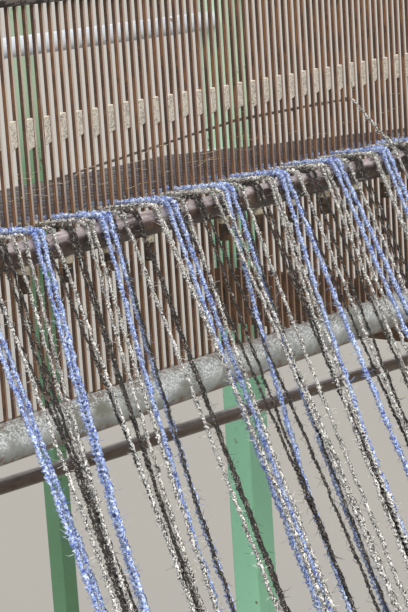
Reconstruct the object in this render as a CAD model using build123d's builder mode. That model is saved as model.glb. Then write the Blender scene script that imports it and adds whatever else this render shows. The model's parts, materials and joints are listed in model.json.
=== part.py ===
from build123d import *
import math
import os

os.makedirs("parts", exist_ok=True)

# Horizontal warping mill, in millimetres. X runs along the drum shaft, +Y points from the drum
# to the yarn supply, +Z is up, and the origin is on the floor at the centre of the floor bolts.

# Fits and gaps
running_gap = 0.05
soft_gap = 0.3
fixed_gap = 0.05

# Base of two timber beams with cross ties
beam_to_drum = 80
beam_width = 60
beam_height = 80
beam_length = 2100
tie_height = 60
tie_depth = 60
tie_lift = 10
front_tie_y = -985
middle_tie_y = -60
floor_bolt_inset = 60
floor_bolt_radius = 7

# Drum
drum_y = -590
drum_z = 560
drum_radius = 477.5
drum_length = 1040
stave_count = 24
stave_width = 104
stave_thickness = 22
shaft_radius = 20
shaft_left_overhang = 70
shaft_right_overhang = 130
spider_inset = 30
spider_width = 36
spider_rim_depth = 28
spider_hub_radius = 62
spider_hub_length = 70
spoke_count = 12
spoke_width = 22
spoke_thickness = 14
spider_bore_gap = 0.05

# Side frames that carry the drum
casting_rim_width = 46
casting_rim_depth = 26
casting_web = 12
casting_foot_half = 330
casting_seat_half = 95
casting_window_radius = 68
casting_window_low = 120
casting_window_low_spread = 165
casting_window_high = 285
casting_window_high_spread = 76
bearing_height = 40
bearing_base_length = 170
bearing_base_height = 16
bearing_cap_radius = 38
bearing_width = 44
bearing_bolt_spacing = 132
bearing_bolt_radius = 5

# Brake and crank
brake_wheel_to_drum = 22
brake_wheel_radius = 180
brake_wheel_rim = 14
brake_wheel_width = 30
brake_wheel_web = 8
brake_wheel_hub_radius = 44
brake_hole_count = 5
brake_hole_radius = 28
brake_pivot_behind = 165
brake_pivot_drop = 260
brake_lever_thickness = 12
brake_lever_width = 30
brake_lever_rise = 355
brake_shoe_gap = 12
brake_travel = 2.6
brake_shoe_depth = 20
brake_shoe_wrap = 10
brake_shoe_half_height = 55
brake_grip_length = 110
pivot_pin_radius = 8
crank_throw = 280
crank_boss_radius = 36
crank_thickness = 16
crank_end_radius = 20
crank_pin_radius = 8
crank_grip_radius = 13
crank_grip_belly = 5
crank_grip_length = 112
crank_grip_end_gap = 0.4

# Leasing reed
dent_pitch = 25.4 / 6
reed_gap_count = 101
reed_wire_thickness = 1.2
reed_wire_depth = 1.45
reed_y = 640
blocks_below_post_top = 92
block_height = 11.4
block_depth = 1.5
baulk_radius = 7.6
bottom_baulk_drop = 107.2
top_baulk_rise = 53.1
baulk_slot_depth = 7.0
reed_end_bar_thickness = 4
reed_end_bar_depth = 12
reed_end_gap = 1
reed_end_fit = 0.1

# Guide bar in front of the reed and the rails behind it
guide_bar_radius = 4.45
guide_bar_forward = 30
guide_bar_drop = 34.5
peg_pitch = 5 * dent_pitch
peg_start = 9.0
peg_count_each_side = 9
peg_radius = 1.9
peg_length = 9
peg_head_radius = 2.3
peg_head_height = 2.2
lower_rod_radius = 3
lower_rod_back = 30
lower_rod_drop = 138.6
lower_rod_tilt = 2.2
upper_rail_radius = 5
upper_rail_rise = 14
lower_rail_radius = 5
lower_rail_drop = 60

# Stand that holds the reed
post_x = 240
front_post_size = 18
front_post_back = 192
rear_post_size = 12
rear_post_back = 349
post_top_z = 1422
cheek_thickness = 6
cheek_front = 45
cheek_window_front = 18
cheek_bottom_drop = 152
cheek_window_drop = 122
cheek_window_rise = 46
cheek_top_rise = 82
cheek_corner_radius = 7
cheek_bolt_head_radius = 6
cheek_bolt_head_height = 4
stand_rail_size = 14
stand_rail_low_z = 420
stand_rail_top_drop = 14
stretcher_z = 300
hitch_rail_size = 30
hitch_rail_drop = 101
clamp_strip_height = 8
clamp_strip_width = 24
clamp_strip_half_length = 218
clamp_screw_inset = 12

# Guide carriage on its two slide rails
comb_forward = 373
slide_rail_radius = 11
slide_rail_half_spacing = 36
slide_rail_below_yarn = 155.5
rail_stand_thickness = 30
rail_stand_foot = 190
rail_stand_top = 120
rail_stand_window_radius = 38
rail_stand_window_pitch = 165
rail_stand_cover = 14
slide_rail_overhang = 12
saddle_length = 238
saddle_height = 34
saddle_wall = 8
saddle_ear_thickness = 10
comb_base_height = 14
comb_opening = 70
comb_below_yarn = 34
comb_depth = 9
comb_post_width = 8
comb_wire_thickness = 0.6
comb_wire_depth = 2
comb_lead_in = 2.5
ends_per_dent = 4
comb_dent_pitch = 9.2
end_pitch_in_dent = 2.2
roller_forward = 50
roller_radius = 22
roller_spindle_radius = 5
roller_end_gap = 0.4
clamp_screw_radius = 5
clamp_knob_radius = 17
clamp_knob_length = 20

# Yarn sheet: eight ends to the repeat, one in each dent
end_size = 1.4
first_threaded_dent = -40
threaded_ends = 84
repeat_start = -26
yarn_fall = 20.0
focus_x = -762.0
focus_forward = 816.0
band_thickness = 9.5
band_margin = 2.0
repeat_colours = ("light", "light", "blue", "blue", "dark", "light", "dark", "dark")

# Places that follow from the sizes above
beam_x = drum_length / 2 + beam_to_drum
floor_bolt_span = beam_length - 2 * floor_bolt_inset
brake_wheel_x = drum_length / 2 + brake_wheel_to_drum
brake_pivot_y = drum_y + brake_pivot_behind
brake_pivot_z = drum_z - brake_pivot_drop
brake_lever_top_z = drum_z + brake_lever_rise
block_row_z = post_top_z - blocks_below_post_top
stand_rail_high_z = post_top_z - stand_rail_top_drop
bar_y = reed_y - guide_bar_forward
bar_z = block_row_z - guide_bar_drop
front_post_y = reed_y + front_post_back
rear_post_y = reed_y + rear_post_back
lower_rail_z = block_row_z - lower_rail_drop
hitch_top_z = block_row_z - hitch_rail_drop
comb_y = bar_y - comb_forward
cheek_outer_x = post_x - front_post_size / 2
cheek_inner_x = cheek_outer_x - cheek_thickness
reed_wire_half_span = reed_gap_count * dent_pitch / 2
bottom_baulk_z = block_row_z - bottom_baulk_drop
top_baulk_z = block_row_z + top_baulk_rise
seat_z = drum_z - bearing_height
spider_outer_apothem = drum_radius - stave_thickness
band_radius = drum_radius + band_thickness


# Small details: chamfers, bolt heads, grips and the outline of the guide's ears
beam_end_chamfer = 12
shaft_chamfer = 2
post_chamfer = 2
roller_chamfer = 1.5
hexagon = 6
bearing_bolt_head_radius = 9
bearing_bolt_head_height = 7
spoke_overlap = 4
brake_hole_inset = 8
lever_eye_rim = 6
brake_grip_foot_radius = 9
brake_grip_belly_radius = 15
brake_grip_belly_share = 0.55
brake_grip_head_radius = 11
brake_grip_round = 5
pivot_pin_overhang = 8
crank_end_inset = 10
crank_washer_rim = 4
crank_washer_thickness = 5
stretcher_depth_share = 0.8
strip_chamfer = 2
strip_screw_head_radius = 7
strip_screw_head_height = 5
strip_screw_radius = 3
rail_stand_window_count = 5
ear_foot_back = 22
ear_behind_comb = 2
ear_before_comb = 12
ear_nose_forward = 14
ear_nose_rise = 16
ear_chin_forward = 16
ear_chin_drop = 18
ear_foot_inset = 6
ear_corner_radius = 6
spindle_overhang = 4
screw_hole_overrun = 2
knob_standoff = 14
knob_notch_count = 5
knob_notch_radius = 7
knob_notch_offset = 4
clamp_end_lead = 6
rail_clearance = 0.25


def save(piece, name):
    """Label a finished piece and write it as one STEP file."""
    piece.label = name
    export_step(piece, f"parts/{name}.step")


def bar_along_x(x_from, x_to, y, z, radius):
    """A round bar parallel to the drum shaft."""
    with BuildPart() as bar:
        with BuildSketch(Plane.YZ.offset(x_from)):
            with Locations((y, z)):
                Circle(radius)
        extrude(amount=x_to - x_from)
    return bar.part


# Yarn path, seen from the side as (y, z) points
fall = math.radians(yarn_fall)
bar_ride = guide_bar_radius + end_size / 2 + soft_gap
leave_y = bar_y - bar_ride * math.sin(fall)
leave_z = bar_z + bar_ride * math.cos(fall)


def sheet_height(y):
    """Height of the yarn sheet between the guide bar and the roller."""
    return leave_z - (leave_y - y) * math.tan(fall)


comb_z = sheet_height(comb_y)
slide_rail_z = comb_z - slide_rail_below_yarn
roller_y = comb_y - roller_forward
bend_z = sheet_height(roller_y)
band_ride = band_radius + end_size / 2 + soft_gap
bend_distance = math.hypot(roller_y - drum_y, bend_z - drum_z)
bend_bearing = math.atan2(bend_z - drum_z, roller_y - drum_y)
touch_angle = bend_bearing + math.acos(band_ride / bend_distance)
touch_y = drum_y + band_ride * math.cos(touch_angle)
touch_z = drum_z + band_ride * math.sin(touch_angle)
run_out = math.atan2(bend_z - touch_z, roller_y - touch_y)
roller_ride = roller_radius + end_size / 2 + soft_gap
roller_lean = (fall + run_out) / 2
roller_offset = roller_ride / math.cos((fall - run_out) / 2)
roller_axis_y = roller_y - roller_offset * math.sin(roller_lean)
roller_axis_z = bend_z + roller_offset * math.cos(roller_lean)
rail_ride = lower_rail_radius + end_size / 2 + soft_gap
clamp_y = rear_post_y - hitch_rail_size / 2
clamp_end_y = rear_post_y
end_lie_z = hitch_top_z + end_size / 2
section_centre = focus_x + (1 - comb_forward / focus_forward) * (
    (first_threaded_dent + (threaded_ends - 1) / 2) * dent_pitch - focus_x
)
section_width = threaded_ends / ends_per_dent * comb_dent_pitch


def end_path(index):
    """Points of one yarn end, from the clamp over the bar to the drum."""
    dent_x = (first_threaded_dent + index) * dent_pitch
    dent, place = divmod(index, ends_per_dent)
    dent_centre = section_centre - section_width / 2 + (dent + 0.5) * comb_dent_pitch
    comb_x = dent_centre + (place - (ends_per_dent - 1) / 2) * end_pitch_in_dent
    climb = math.atan2(bar_z + bar_ride - (lower_rail_z + rail_ride), front_post_back + guide_bar_forward)
    meet_y = bar_y + bar_ride * math.sin(climb)
    meet_z = bar_z + bar_ride * math.cos(climb)
    return [
        (dent_x, clamp_end_y, end_lie_z),
        (dent_x, clamp_y - clamp_end_lead, end_lie_z),
        (dent_x, front_post_y, lower_rail_z + rail_ride + rail_clearance),
        (dent_x, meet_y, meet_z),
        (dent_x, leave_y, leave_z),
        (comb_x, comb_y + comb_lead_in, sheet_height(comb_y + comb_lead_in)),
        (comb_x, roller_y, bend_z),
        (comb_x, touch_y, touch_z),
    ]


def yarn_end(points):
    """One yarn end swept along its path with a plain square section."""
    start = Vector(*points[0])
    heading = Vector(*points[1]) - start
    with BuildPart() as strand:
        with BuildLine() as route:
            Polyline(*points)
        with BuildSketch(Plane(origin=start, x_dir=(1, 0, 0), z_dir=heading)):
            Rectangle(end_size, end_size)
        sweep(path=route.line, transition=Transition.RIGHT)
    return strand.part


def yarn_group(colour):
    """All ends of one colour, each a solid of its own."""
    strands = []
    for index in range(threaded_ends):
        place = (first_threaded_dent + index - repeat_start) % len(repeat_colours)
        if repeat_colours[place] == colour:
            strands.append(yarn_end(end_path(index)))
    with BuildPart() as group:
        add(strands)
    return group.part


save(yarn_group("blue"), "blue_ends")
save(yarn_group("light"), "light_marl_ends")
save(yarn_group("dark"), "dark_marl_ends")

with BuildPart() as warp_band:
    with BuildSketch(Plane.YZ.offset(section_centre - section_width / 2 - band_margin)):
        with Locations((drum_y, drum_z)):
            Circle(band_radius)
            Circle(drum_radius + fixed_gap, mode=Mode.SUBTRACT)
    extrude(amount=section_width + 2 * band_margin)
save(warp_band.part, "warp_band")


# Base
def base_beam(x):
    """A floor beam with its two bolt holes and chamfered ends."""
    with BuildPart() as beam:
        with Locations((x, 0, 0)):
            Box(beam_width, beam_length, beam_height, align=(Align.CENTER, Align.CENTER, Align.MIN))
        ends = beam.edges().filter_by(Axis.X).group_by(Axis.Z)[-1]
        chamfer(ends, beam_end_chamfer)
        with Locations((x, -floor_bolt_span / 2, beam_height), (x, floor_bolt_span / 2, beam_height)):
            Hole(floor_bolt_radius)
    return beam.part


def cross_tie(y, height, depth, lift):
    """A tie between the two floor beams."""
    with BuildPart() as tie:
        with Locations((0, y, lift)):
            Box(2 * beam_x - beam_width, depth, height, align=(Align.CENTER, Align.CENTER, Align.MIN))
    return tie.part


save(base_beam(-beam_x), "base_beam_left")
save(base_beam(beam_x), "base_beam_right")
save(cross_tie(front_tie_y, tie_height, tie_depth, tie_lift), "cross_tie_front")
save(cross_tie(middle_tie_y, tie_height, tie_depth, tie_lift), "cross_tie_middle")
save(cross_tie(front_post_y, beam_height, tie_depth, 0), "stand_sill_front")
save(cross_tie(rear_post_y, beam_height, tie_depth, 0), "stand_sill_rear")


# Side frames and bearings
def side_frame(x):
    """A cast side frame: a deep rim round a thin web with round windows, and a seat on top."""
    outline = [
        (drum_y - casting_foot_half, beam_height),
        (drum_y + casting_foot_half, beam_height),
        (drum_y + casting_seat_half, seat_z),
        (drum_y - casting_seat_half, seat_z),
    ]
    with BuildPart() as casting:
        with BuildSketch(Plane.YZ.offset(x - casting_rim_width / 2)):
            Polygon(*outline, align=None)
            offset(amount=-casting_rim_depth, kind=Kind.INTERSECTION, mode=Mode.SUBTRACT)
        extrude(amount=casting_rim_width)
        with BuildSketch(Plane.YZ.offset(x - casting_web / 2)):
            Polygon(*outline, align=None)
            with Locations(
                (drum_y - casting_window_low_spread, beam_height + casting_window_low),
                (drum_y, beam_height + casting_window_low),
                (drum_y + casting_window_low_spread, beam_height + casting_window_low),
                (drum_y - casting_window_high_spread, beam_height + casting_window_high),
                (drum_y + casting_window_high_spread, beam_height + casting_window_high),
            ):
                Circle(casting_window_radius, mode=Mode.SUBTRACT)
        extrude(amount=casting_web)
    return casting.part


def shaft_bearing(x):
    """A plummer block: a bolted base and a round cap bored for the shaft."""
    with BuildPart() as block:
        with BuildSketch(Plane.YZ.offset(x - bearing_width / 2)):
            with Locations((drum_y, seat_z)):
                Rectangle(bearing_base_length, bearing_base_height, align=(Align.CENTER, Align.MIN))
                Rectangle(2 * bearing_cap_radius, bearing_height, align=(Align.CENTER, Align.MIN))
            with Locations((drum_y, drum_z)):
                Circle(bearing_cap_radius)
                Circle(shaft_radius + running_gap, mode=Mode.SUBTRACT)
        extrude(amount=bearing_width)
        with Locations(
            (x, drum_y - bearing_bolt_spacing / 2, seat_z + bearing_base_height),
            (x, drum_y + bearing_bolt_spacing / 2, seat_z + bearing_base_height),
        ):
            Hole(bearing_bolt_radius + fixed_gap, depth=bearing_base_height)
    return block.part


save(side_frame(-beam_x), "side_frame_left")
save(side_frame(beam_x), "side_frame_right")
save(shaft_bearing(-beam_x), "shaft_bearing_left")
save(shaft_bearing(beam_x), "shaft_bearing_right")

with BuildPart() as bearing_bolts:
    for x in (-beam_x, beam_x):
        for side in (-1, 1):
            spot = (x, drum_y + side * bearing_bolt_spacing / 2, seat_z)
            with BuildSketch(Plane(origin=spot)):
                Circle(bearing_bolt_radius)
            extrude(amount=bearing_base_height)
            with BuildSketch(Plane(origin=spot).offset(bearing_base_height)):
                RegularPolygon(bearing_bolt_head_radius, hexagon)
            extrude(amount=bearing_bolt_head_height)
save(bearing_bolts.part, "bearing_bolts")

# Drum shaft, spiders and staves
shaft_left = -beam_x - shaft_left_overhang
shaft_right = beam_x + shaft_right_overhang
with BuildPart() as drum_shaft:
    with BuildSketch(Plane.YZ.offset(shaft_left)):
        with Locations((drum_y, drum_z)):
            Circle(shaft_radius)
    extrude(amount=shaft_right - shaft_left)
    chamfer(drum_shaft.edges().filter_by(GeomType.CIRCLE), shaft_chamfer)
save(drum_shaft.part, "drum_shaft")


def drum_spider(x):
    """A cast wheel with tapered spokes, and a rim with a flat under each stave."""
    rim_inner = spider_outer_apothem - spider_rim_depth
    axis_plane = Plane(origin=(x, drum_y, drum_z), x_dir=(0, 1, 0), z_dir=(1, 0, 0))
    with BuildSketch() as spoke:
        with BuildLine():
            Polyline(
                (0, -spoke_width),
                (rim_inner + spoke_overlap, -spoke_width / 2),
                (rim_inner + spoke_overlap, spoke_width / 2),
                (0, spoke_width),
                close=True,
            )
        make_face()
    with BuildPart() as wheel:
        with BuildSketch(axis_plane.offset(-spider_width / 2)):
            RegularPolygon(spider_outer_apothem, stave_count, major_radius=False)
            RegularPolygon(rim_inner, stave_count, major_radius=False, mode=Mode.SUBTRACT)
        extrude(amount=spider_width)
        with BuildSketch(axis_plane.offset(-spoke_thickness / 2)):
            with PolarLocations(0, spoke_count, start_angle=180 / stave_count):
                add(spoke.sketch)
        extrude(amount=spoke_thickness)
        with BuildSketch(axis_plane.offset(-spider_hub_length / 2)):
            Circle(spider_hub_radius)
        extrude(amount=spider_hub_length)
        with BuildSketch(axis_plane.offset(-spider_hub_length / 2)):
            Circle(shaft_radius + spider_bore_gap)
        extrude(amount=spider_hub_length, mode=Mode.SUBTRACT)
    return wheel.part


spider_reach = drum_length / 2 - spider_inset
save(drum_spider(-spider_reach), "drum_spider_left")
save(drum_spider(0), "drum_spider_middle")
save(drum_spider(spider_reach), "drum_spider_right")

with BuildSketch() as stave_section:
    with BuildLine():
        half = stave_width / 2
        shoulder = math.sqrt(drum_radius**2 - half**2)
        seat = spider_outer_apothem
        Polyline((shoulder, -half), (seat, -half), (seat, half), (shoulder, half))
        ThreePointArc((shoulder, half), (drum_radius, 0), (shoulder, -half))
    make_face()
with BuildPart() as drum_staves:
    with BuildSketch(Plane(origin=(-drum_length / 2, drum_y, drum_z), x_dir=(0, 1, 0), z_dir=(1, 0, 0))):
        with PolarLocations(0, stave_count, start_angle=180 / stave_count):
            add(stave_section.sketch)
    extrude(amount=drum_length)
save(drum_staves.part, "drum_staves")

# Brake wheel, brake lever and its shoe
wheel_plane = Plane(origin=(brake_wheel_x, drum_y, drum_z), x_dir=(0, 1, 0), z_dir=(1, 0, 0))
with BuildPart() as brake_wheel:
    with BuildSketch(wheel_plane.offset(-brake_wheel_width / 2)):
        Circle(brake_wheel_radius)
        Circle(brake_wheel_radius - brake_wheel_rim, mode=Mode.SUBTRACT)
    extrude(amount=brake_wheel_width)
    with BuildSketch(wheel_plane.offset(-brake_wheel_web / 2)):
        Circle(brake_wheel_radius - brake_wheel_rim / 2)
        with PolarLocations((brake_wheel_radius + brake_wheel_hub_radius) / 2 - brake_hole_inset, brake_hole_count):
            Circle(brake_hole_radius, mode=Mode.SUBTRACT)
    extrude(amount=brake_wheel_web)
    with BuildSketch(wheel_plane.offset(-brake_wheel_width / 2)):
        Circle(brake_wheel_hub_radius)
    extrude(amount=brake_wheel_width)
    with BuildSketch(wheel_plane.offset(-brake_wheel_width / 2)):
        Circle(shaft_radius + spider_bore_gap)
    extrude(amount=brake_wheel_width, mode=Mode.SUBTRACT)
save(brake_wheel.part, "brake_wheel")

lever_plane = Plane.YZ.offset(brake_wheel_x - brake_lever_thickness / 2)
shoe_face_y = drum_y + brake_wheel_radius + brake_shoe_gap
lever_y = shoe_face_y + brake_shoe_depth + brake_lever_width / 2
with BuildPart() as brake_lever:
    with BuildSketch(lever_plane):
        with BuildLine():
            Polyline(
                (brake_pivot_y, brake_pivot_z),
                (lever_y, drum_z - brake_shoe_half_height - brake_lever_width / 2),
                (lever_y, brake_lever_top_z),
            )
        trace(line_width=brake_lever_width)
        with Locations((brake_pivot_y, brake_pivot_z)):
            Circle(brake_lever_width / 2 + lever_eye_rim)
            Circle(pivot_pin_radius + running_gap, mode=Mode.SUBTRACT)
    extrude(amount=brake_lever_thickness)
save(brake_lever.part, "brake_lever")

# The shoe face is worn to the wheel's circle, as it lies with the lever pulled in
travel = math.radians(brake_travel)
worn_y = brake_pivot_y - brake_pivot_behind * math.cos(travel) + brake_pivot_drop * math.sin(travel)
worn_z = brake_pivot_z + brake_pivot_behind * math.sin(travel) + brake_pivot_drop * math.cos(travel)
with BuildPart() as brake_shoe:
    with BuildSketch(Plane.YZ.offset(brake_wheel_x - brake_wheel_width / 2)):
        with Locations((shoe_face_y - brake_shoe_wrap, drum_z)):
            Rectangle(
                brake_shoe_depth + brake_shoe_wrap,
                2 * brake_shoe_half_height,
                align=(Align.MIN, Align.CENTER),
            )
        with Locations((worn_y, worn_z)):
            Circle(brake_wheel_radius + soft_gap, mode=Mode.SUBTRACT)
    extrude(amount=brake_wheel_width)
save(brake_shoe.part, "brake_shoe")

with BuildPart() as brake_grip:
    grip_foot = (brake_wheel_x, lever_y, brake_lever_top_z)
    for height, radius in (
        (0, brake_grip_foot_radius),
        (brake_grip_belly_share * brake_grip_length, brake_grip_belly_radius),
        (brake_grip_length, brake_grip_head_radius),
    ):
        with BuildSketch(Plane(origin=grip_foot).offset(height)):
            Circle(radius)
    loft()
    fillet(brake_grip.edges().group_by(Axis.Z)[-1], brake_grip_round)
save(brake_grip.part, "brake_grip")

pin_start = brake_wheel_x - brake_lever_thickness / 2 - pivot_pin_overhang
with BuildPart() as brake_pivot_pin:
    with BuildSketch(Plane.YZ.offset(pin_start)):
        with Locations((brake_pivot_y, brake_pivot_z)):
            Circle(pivot_pin_radius)
    extrude(amount=beam_x - casting_web / 2 - pin_start)
save(brake_pivot_pin.part, "brake_pivot_pin")

# Crank on the right end of the shaft
crank_x = shaft_right - crank_thickness - crank_end_inset
with BuildPart() as crank_arm:
    with BuildSketch(Plane.YZ.offset(crank_x)):
        with Locations((drum_y, drum_z)):
            Circle(crank_boss_radius)
        with Locations((drum_y, drum_z - crank_throw)):
            Circle(crank_end_radius)
        make_hull()
        with Locations((drum_y, drum_z)):
            Circle(shaft_radius + spider_bore_gap, mode=Mode.SUBTRACT)
    extrude(amount=crank_thickness)
    with BuildSketch(Plane.YZ.offset(crank_x + crank_thickness)):
        with Locations((drum_y, drum_z - crank_throw)):
            Circle(crank_pin_radius)
    extrude(amount=crank_grip_length + 2 * crank_grip_end_gap)
    with BuildSketch(Plane.YZ.offset(crank_x + crank_thickness + crank_grip_length + 2 * crank_grip_end_gap)):
        with Locations((drum_y, drum_z - crank_throw)):
            Circle(crank_pin_radius + crank_washer_rim)
    extrude(amount=crank_washer_thickness)
save(crank_arm.part, "crank_arm")

with BuildPart() as crank_grip:
    grip_start = crank_x + crank_thickness + crank_grip_end_gap
    grip_foot = (grip_start, drum_y, drum_z - crank_throw)
    with BuildSketch(Plane(origin=grip_foot, x_dir=(1, 0, 0), z_dir=(0, 1, 0))):
        with BuildLine():
            inner = crank_pin_radius + running_gap
            far = (crank_grip_length, crank_grip_radius)
            Polyline((0, crank_grip_radius), (0, inner), (crank_grip_length, inner), far)
            belly = (crank_grip_length / 2, crank_grip_radius + crank_grip_belly)
            ThreePointArc(far, belly, (0, crank_grip_radius))
        make_face()
    revolve(axis=Axis(grip_foot, (1, 0, 0)))
save(crank_grip.part, "crank_grip")

# Leasing reed
with BuildPart() as reed_wires:
    wire_top = top_baulk_z - baulk_radius + baulk_slot_depth - soft_gap
    wire_foot = bottom_baulk_z + baulk_radius - baulk_slot_depth + soft_gap
    with Locations((0, reed_y, (wire_top + wire_foot) / 2)):
        with GridLocations(dent_pitch, 1, reed_gap_count + 1, 1):
            Box(reed_wire_thickness, reed_wire_depth, wire_top - wire_foot)
save(reed_wires.part, "reed_wires")

with BuildPart() as leasing_blocks:
    block_count = (reed_gap_count + 1) // 2
    with Locations((0, reed_y, block_row_z)):
        with GridLocations(2 * dent_pitch, 1, block_count, 1):
            Box(dent_pitch - reed_wire_thickness, block_depth, block_height)
save(leasing_blocks.part, "leasing_blocks")


def reed_baulk(z, slot_side):
    """A round tube with a slot along it that takes the ends of the wires."""
    slot_width = reed_wire_depth + 2 * fixed_gap
    with BuildPart() as tube:
        with BuildSketch(Plane.YZ.offset(-cheek_outer_x)):
            with Locations((reed_y, z)):
                Circle(baulk_radius)
            with Locations((reed_y, z + slot_side * (baulk_radius - baulk_slot_depth))):
                low = Align.MIN if slot_side > 0 else Align.MAX
                Rectangle(slot_width, 2 * baulk_radius, align=(Align.CENTER, low), mode=Mode.SUBTRACT)
        extrude(amount=2 * cheek_outer_x)
    return tube.part


save(reed_baulk(bottom_baulk_z, 1), "bottom_baulk")
save(reed_baulk(top_baulk_z, -1), "top_baulk")

with BuildPart() as reed_end_bars:
    end_bar_x = reed_wire_half_span + reed_wire_thickness / 2 + reed_end_gap + reed_end_bar_thickness / 2
    end_bar_height = top_baulk_z - bottom_baulk_z - 2 * baulk_radius - 2 * reed_end_fit
    for x in (-end_bar_x, end_bar_x):
        with Locations((x, reed_y, (top_baulk_z + bottom_baulk_z) / 2)):
            Box(reed_end_bar_thickness, reed_end_bar_depth, end_bar_height)
save(reed_end_bars.part, "reed_end_bars")


# Guide bar, its pegs, and the rods and rails between the cheeks
def stand_bar(y, z, radius):
    """A round bar that reaches between the outer faces of the two cheeks."""
    return bar_along_x(-cheek_outer_x, cheek_outer_x, y, z, radius)


def tilted_rod(radius):
    """A round rod between the outer faces of the cheeks, a little lower at its right end."""
    with BuildPart() as rod:
        with Locations(Location((0, reed_y + lower_rod_back, block_row_z - lower_rod_drop), (0, lower_rod_tilt, 0))):
            Cylinder(radius, 2.2 * cheek_outer_x, rotation=(0, 90, 0))
        with Locations((0, reed_y + lower_rod_back, block_row_z - lower_rod_drop)):
            Box(2 * cheek_outer_x, 8 * radius, 0.2 * cheek_outer_x, mode=Mode.INTERSECT)
    return rod.part


save(stand_bar(bar_y, bar_z, guide_bar_radius), "guide_bar")
save(tilted_rod(lower_rod_radius), "lower_rod")
save(stand_bar(front_post_y, block_row_z + upper_rail_rise, upper_rail_radius), "upper_back_rail")
save(stand_bar(front_post_y, lower_rail_z, lower_rail_radius), "lower_back_rail")

with BuildPart() as bar_pegs:
    for step in range(-peg_count_each_side, peg_count_each_side + 1):
        peg_foot = Plane(origin=(peg_start + step * peg_pitch, bar_y, bar_z - guide_bar_radius - peg_length))
        with BuildSketch(peg_foot):
            Circle(peg_radius)
        extrude(amount=peg_length + guide_bar_radius)
        with BuildSketch(peg_foot.offset(peg_length - peg_head_height)):
            Circle(peg_head_radius)
        extrude(amount=peg_head_height + guide_bar_radius)
    with BuildSketch(Plane.YZ.offset(-cheek_outer_x)):
        with Locations((bar_y, bar_z)):
            Circle(guide_bar_radius)
        with Locations((bar_y, bar_z)):
            Rectangle(4 * guide_bar_radius, 2 * guide_bar_radius, align=(Align.CENTER, Align.MIN))
    extrude(amount=2 * cheek_outer_x, mode=Mode.SUBTRACT)
save(bar_pegs.part, "bar_pegs")


# Stand
def stand_post(x, y, size):
    """A square post that stands on a sill."""
    with BuildPart() as post:
        with Locations((x, y, beam_height)):
            Box(size, size, post_top_z - beam_height, align=(Align.CENTER, Align.CENTER, Align.MIN))
        chamfer(post.edges().group_by(Axis.Z)[-1], post_chamfer)
    return post.part


for side_name, side in (("left", -1), ("right", 1)):
    save(stand_post(side * post_x, front_post_y, front_post_size), f"front_post_{side_name}")
    save(stand_post(side * post_x, rear_post_y, rear_post_size), f"rear_post_{side_name}")

# Cheeks that hold the reed, the guide bar and the lower rod, open at the back between two arms
for side_name, side in (("left", -1), ("right", 1)):
    with BuildPart() as cheek:
        with BuildSketch(Plane.YZ.offset(cheek_inner_x if side > 0 else -cheek_outer_x)) as plate:
            front = reed_y - cheek_front
            back = front_post_y + front_post_size / 2
            with Locations((front, block_row_z - cheek_bottom_drop)):
                Rectangle(back - front, cheek_bottom_drop + cheek_top_rise, align=(Align.MIN, Align.MIN))
            with Locations((reed_y + cheek_window_front, block_row_z - cheek_window_drop)):
                Rectangle(
                    back - front,
                    cheek_window_drop + cheek_window_rise,
                    align=(Align.MIN, Align.MIN),
                    mode=Mode.SUBTRACT,
                )
            fillet(plate.vertices(), cheek_corner_radius)
            with Locations((reed_y, bottom_baulk_z), (reed_y, top_baulk_z)):
                Circle(baulk_radius + fixed_gap, mode=Mode.SUBTRACT)
            with Locations((bar_y, bar_z)):
                Circle(guide_bar_radius + fixed_gap, mode=Mode.SUBTRACT)
        extrude(amount=cheek_thickness)
        add(tilted_rod(lower_rod_radius + fixed_gap), mode=Mode.SUBTRACT)
    save(cheek.part, f"reed_cheek_{side_name}")

cheek_bolt_heights = (
    block_row_z - (cheek_bottom_drop + cheek_window_drop) / 2,
    block_row_z + (cheek_top_rise + cheek_window_rise) / 2,
)
with BuildPart() as cheek_bolts:
    for side in (-1, 1):
        for height in cheek_bolt_heights:
            head = Plane(origin=(side * cheek_inner_x, front_post_y, height), z_dir=(-side, 0, 0))
            with BuildSketch(head):
                RegularPolygon(cheek_bolt_head_radius, hexagon)
            extrude(amount=cheek_bolt_head_height)
save(cheek_bolts.part, "cheek_bolts")


def stand_rails(height):
    """The pair of side rails that join each front post to the rear post behind it."""
    start = front_post_y + front_post_size / 2
    stop = rear_post_y - rear_post_size / 2
    with BuildPart() as rails:
        with Locations((-post_x, start, height), (post_x, start, height)):
            Box(stand_rail_size, stop - start, stand_rail_size, align=(Align.CENTER, Align.MIN, Align.CENTER))
    return rails.part


save(stand_rails(stand_rail_low_z), "stand_rails_low")
save(stand_rails(stand_rail_high_z), "stand_rails_high")

with BuildPart() as stand_stretchers:
    for y, height, size in (
        (front_post_y, stretcher_z, front_post_size),
        (rear_post_y, stretcher_z, rear_post_size),
        (rear_post_y, stand_rail_high_z, rear_post_size),
    ):
        with Locations((0, y, height)):
            Box(2 * post_x - size, stand_rail_size * stretcher_depth_share, stand_rail_size)
save(stand_stretchers.part, "stand_stretchers")

with BuildPart() as hitch_rail:
    with Locations((0, rear_post_y, hitch_top_z)):
        Box(
            2 * post_x - rear_post_size,
            hitch_rail_size,
            hitch_rail_size,
            align=(Align.CENTER, Align.CENTER, Align.MAX),
        )
save(hitch_rail.part, "hitch_rail")

clamp_under_z = hitch_top_z + end_size
with BuildPart() as clamp_strip:
    with Locations((0, rear_post_y, clamp_under_z)):
        Box(
            2 * clamp_strip_half_length,
            clamp_strip_width,
            clamp_strip_height,
            align=(Align.CENTER, Align.CENTER, Align.MIN),
        )
    chamfer(clamp_strip.edges().filter_by(Axis.X).group_by(Axis.Z)[-1], strip_chamfer)
save(clamp_strip.part, "clamp_strip")

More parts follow.
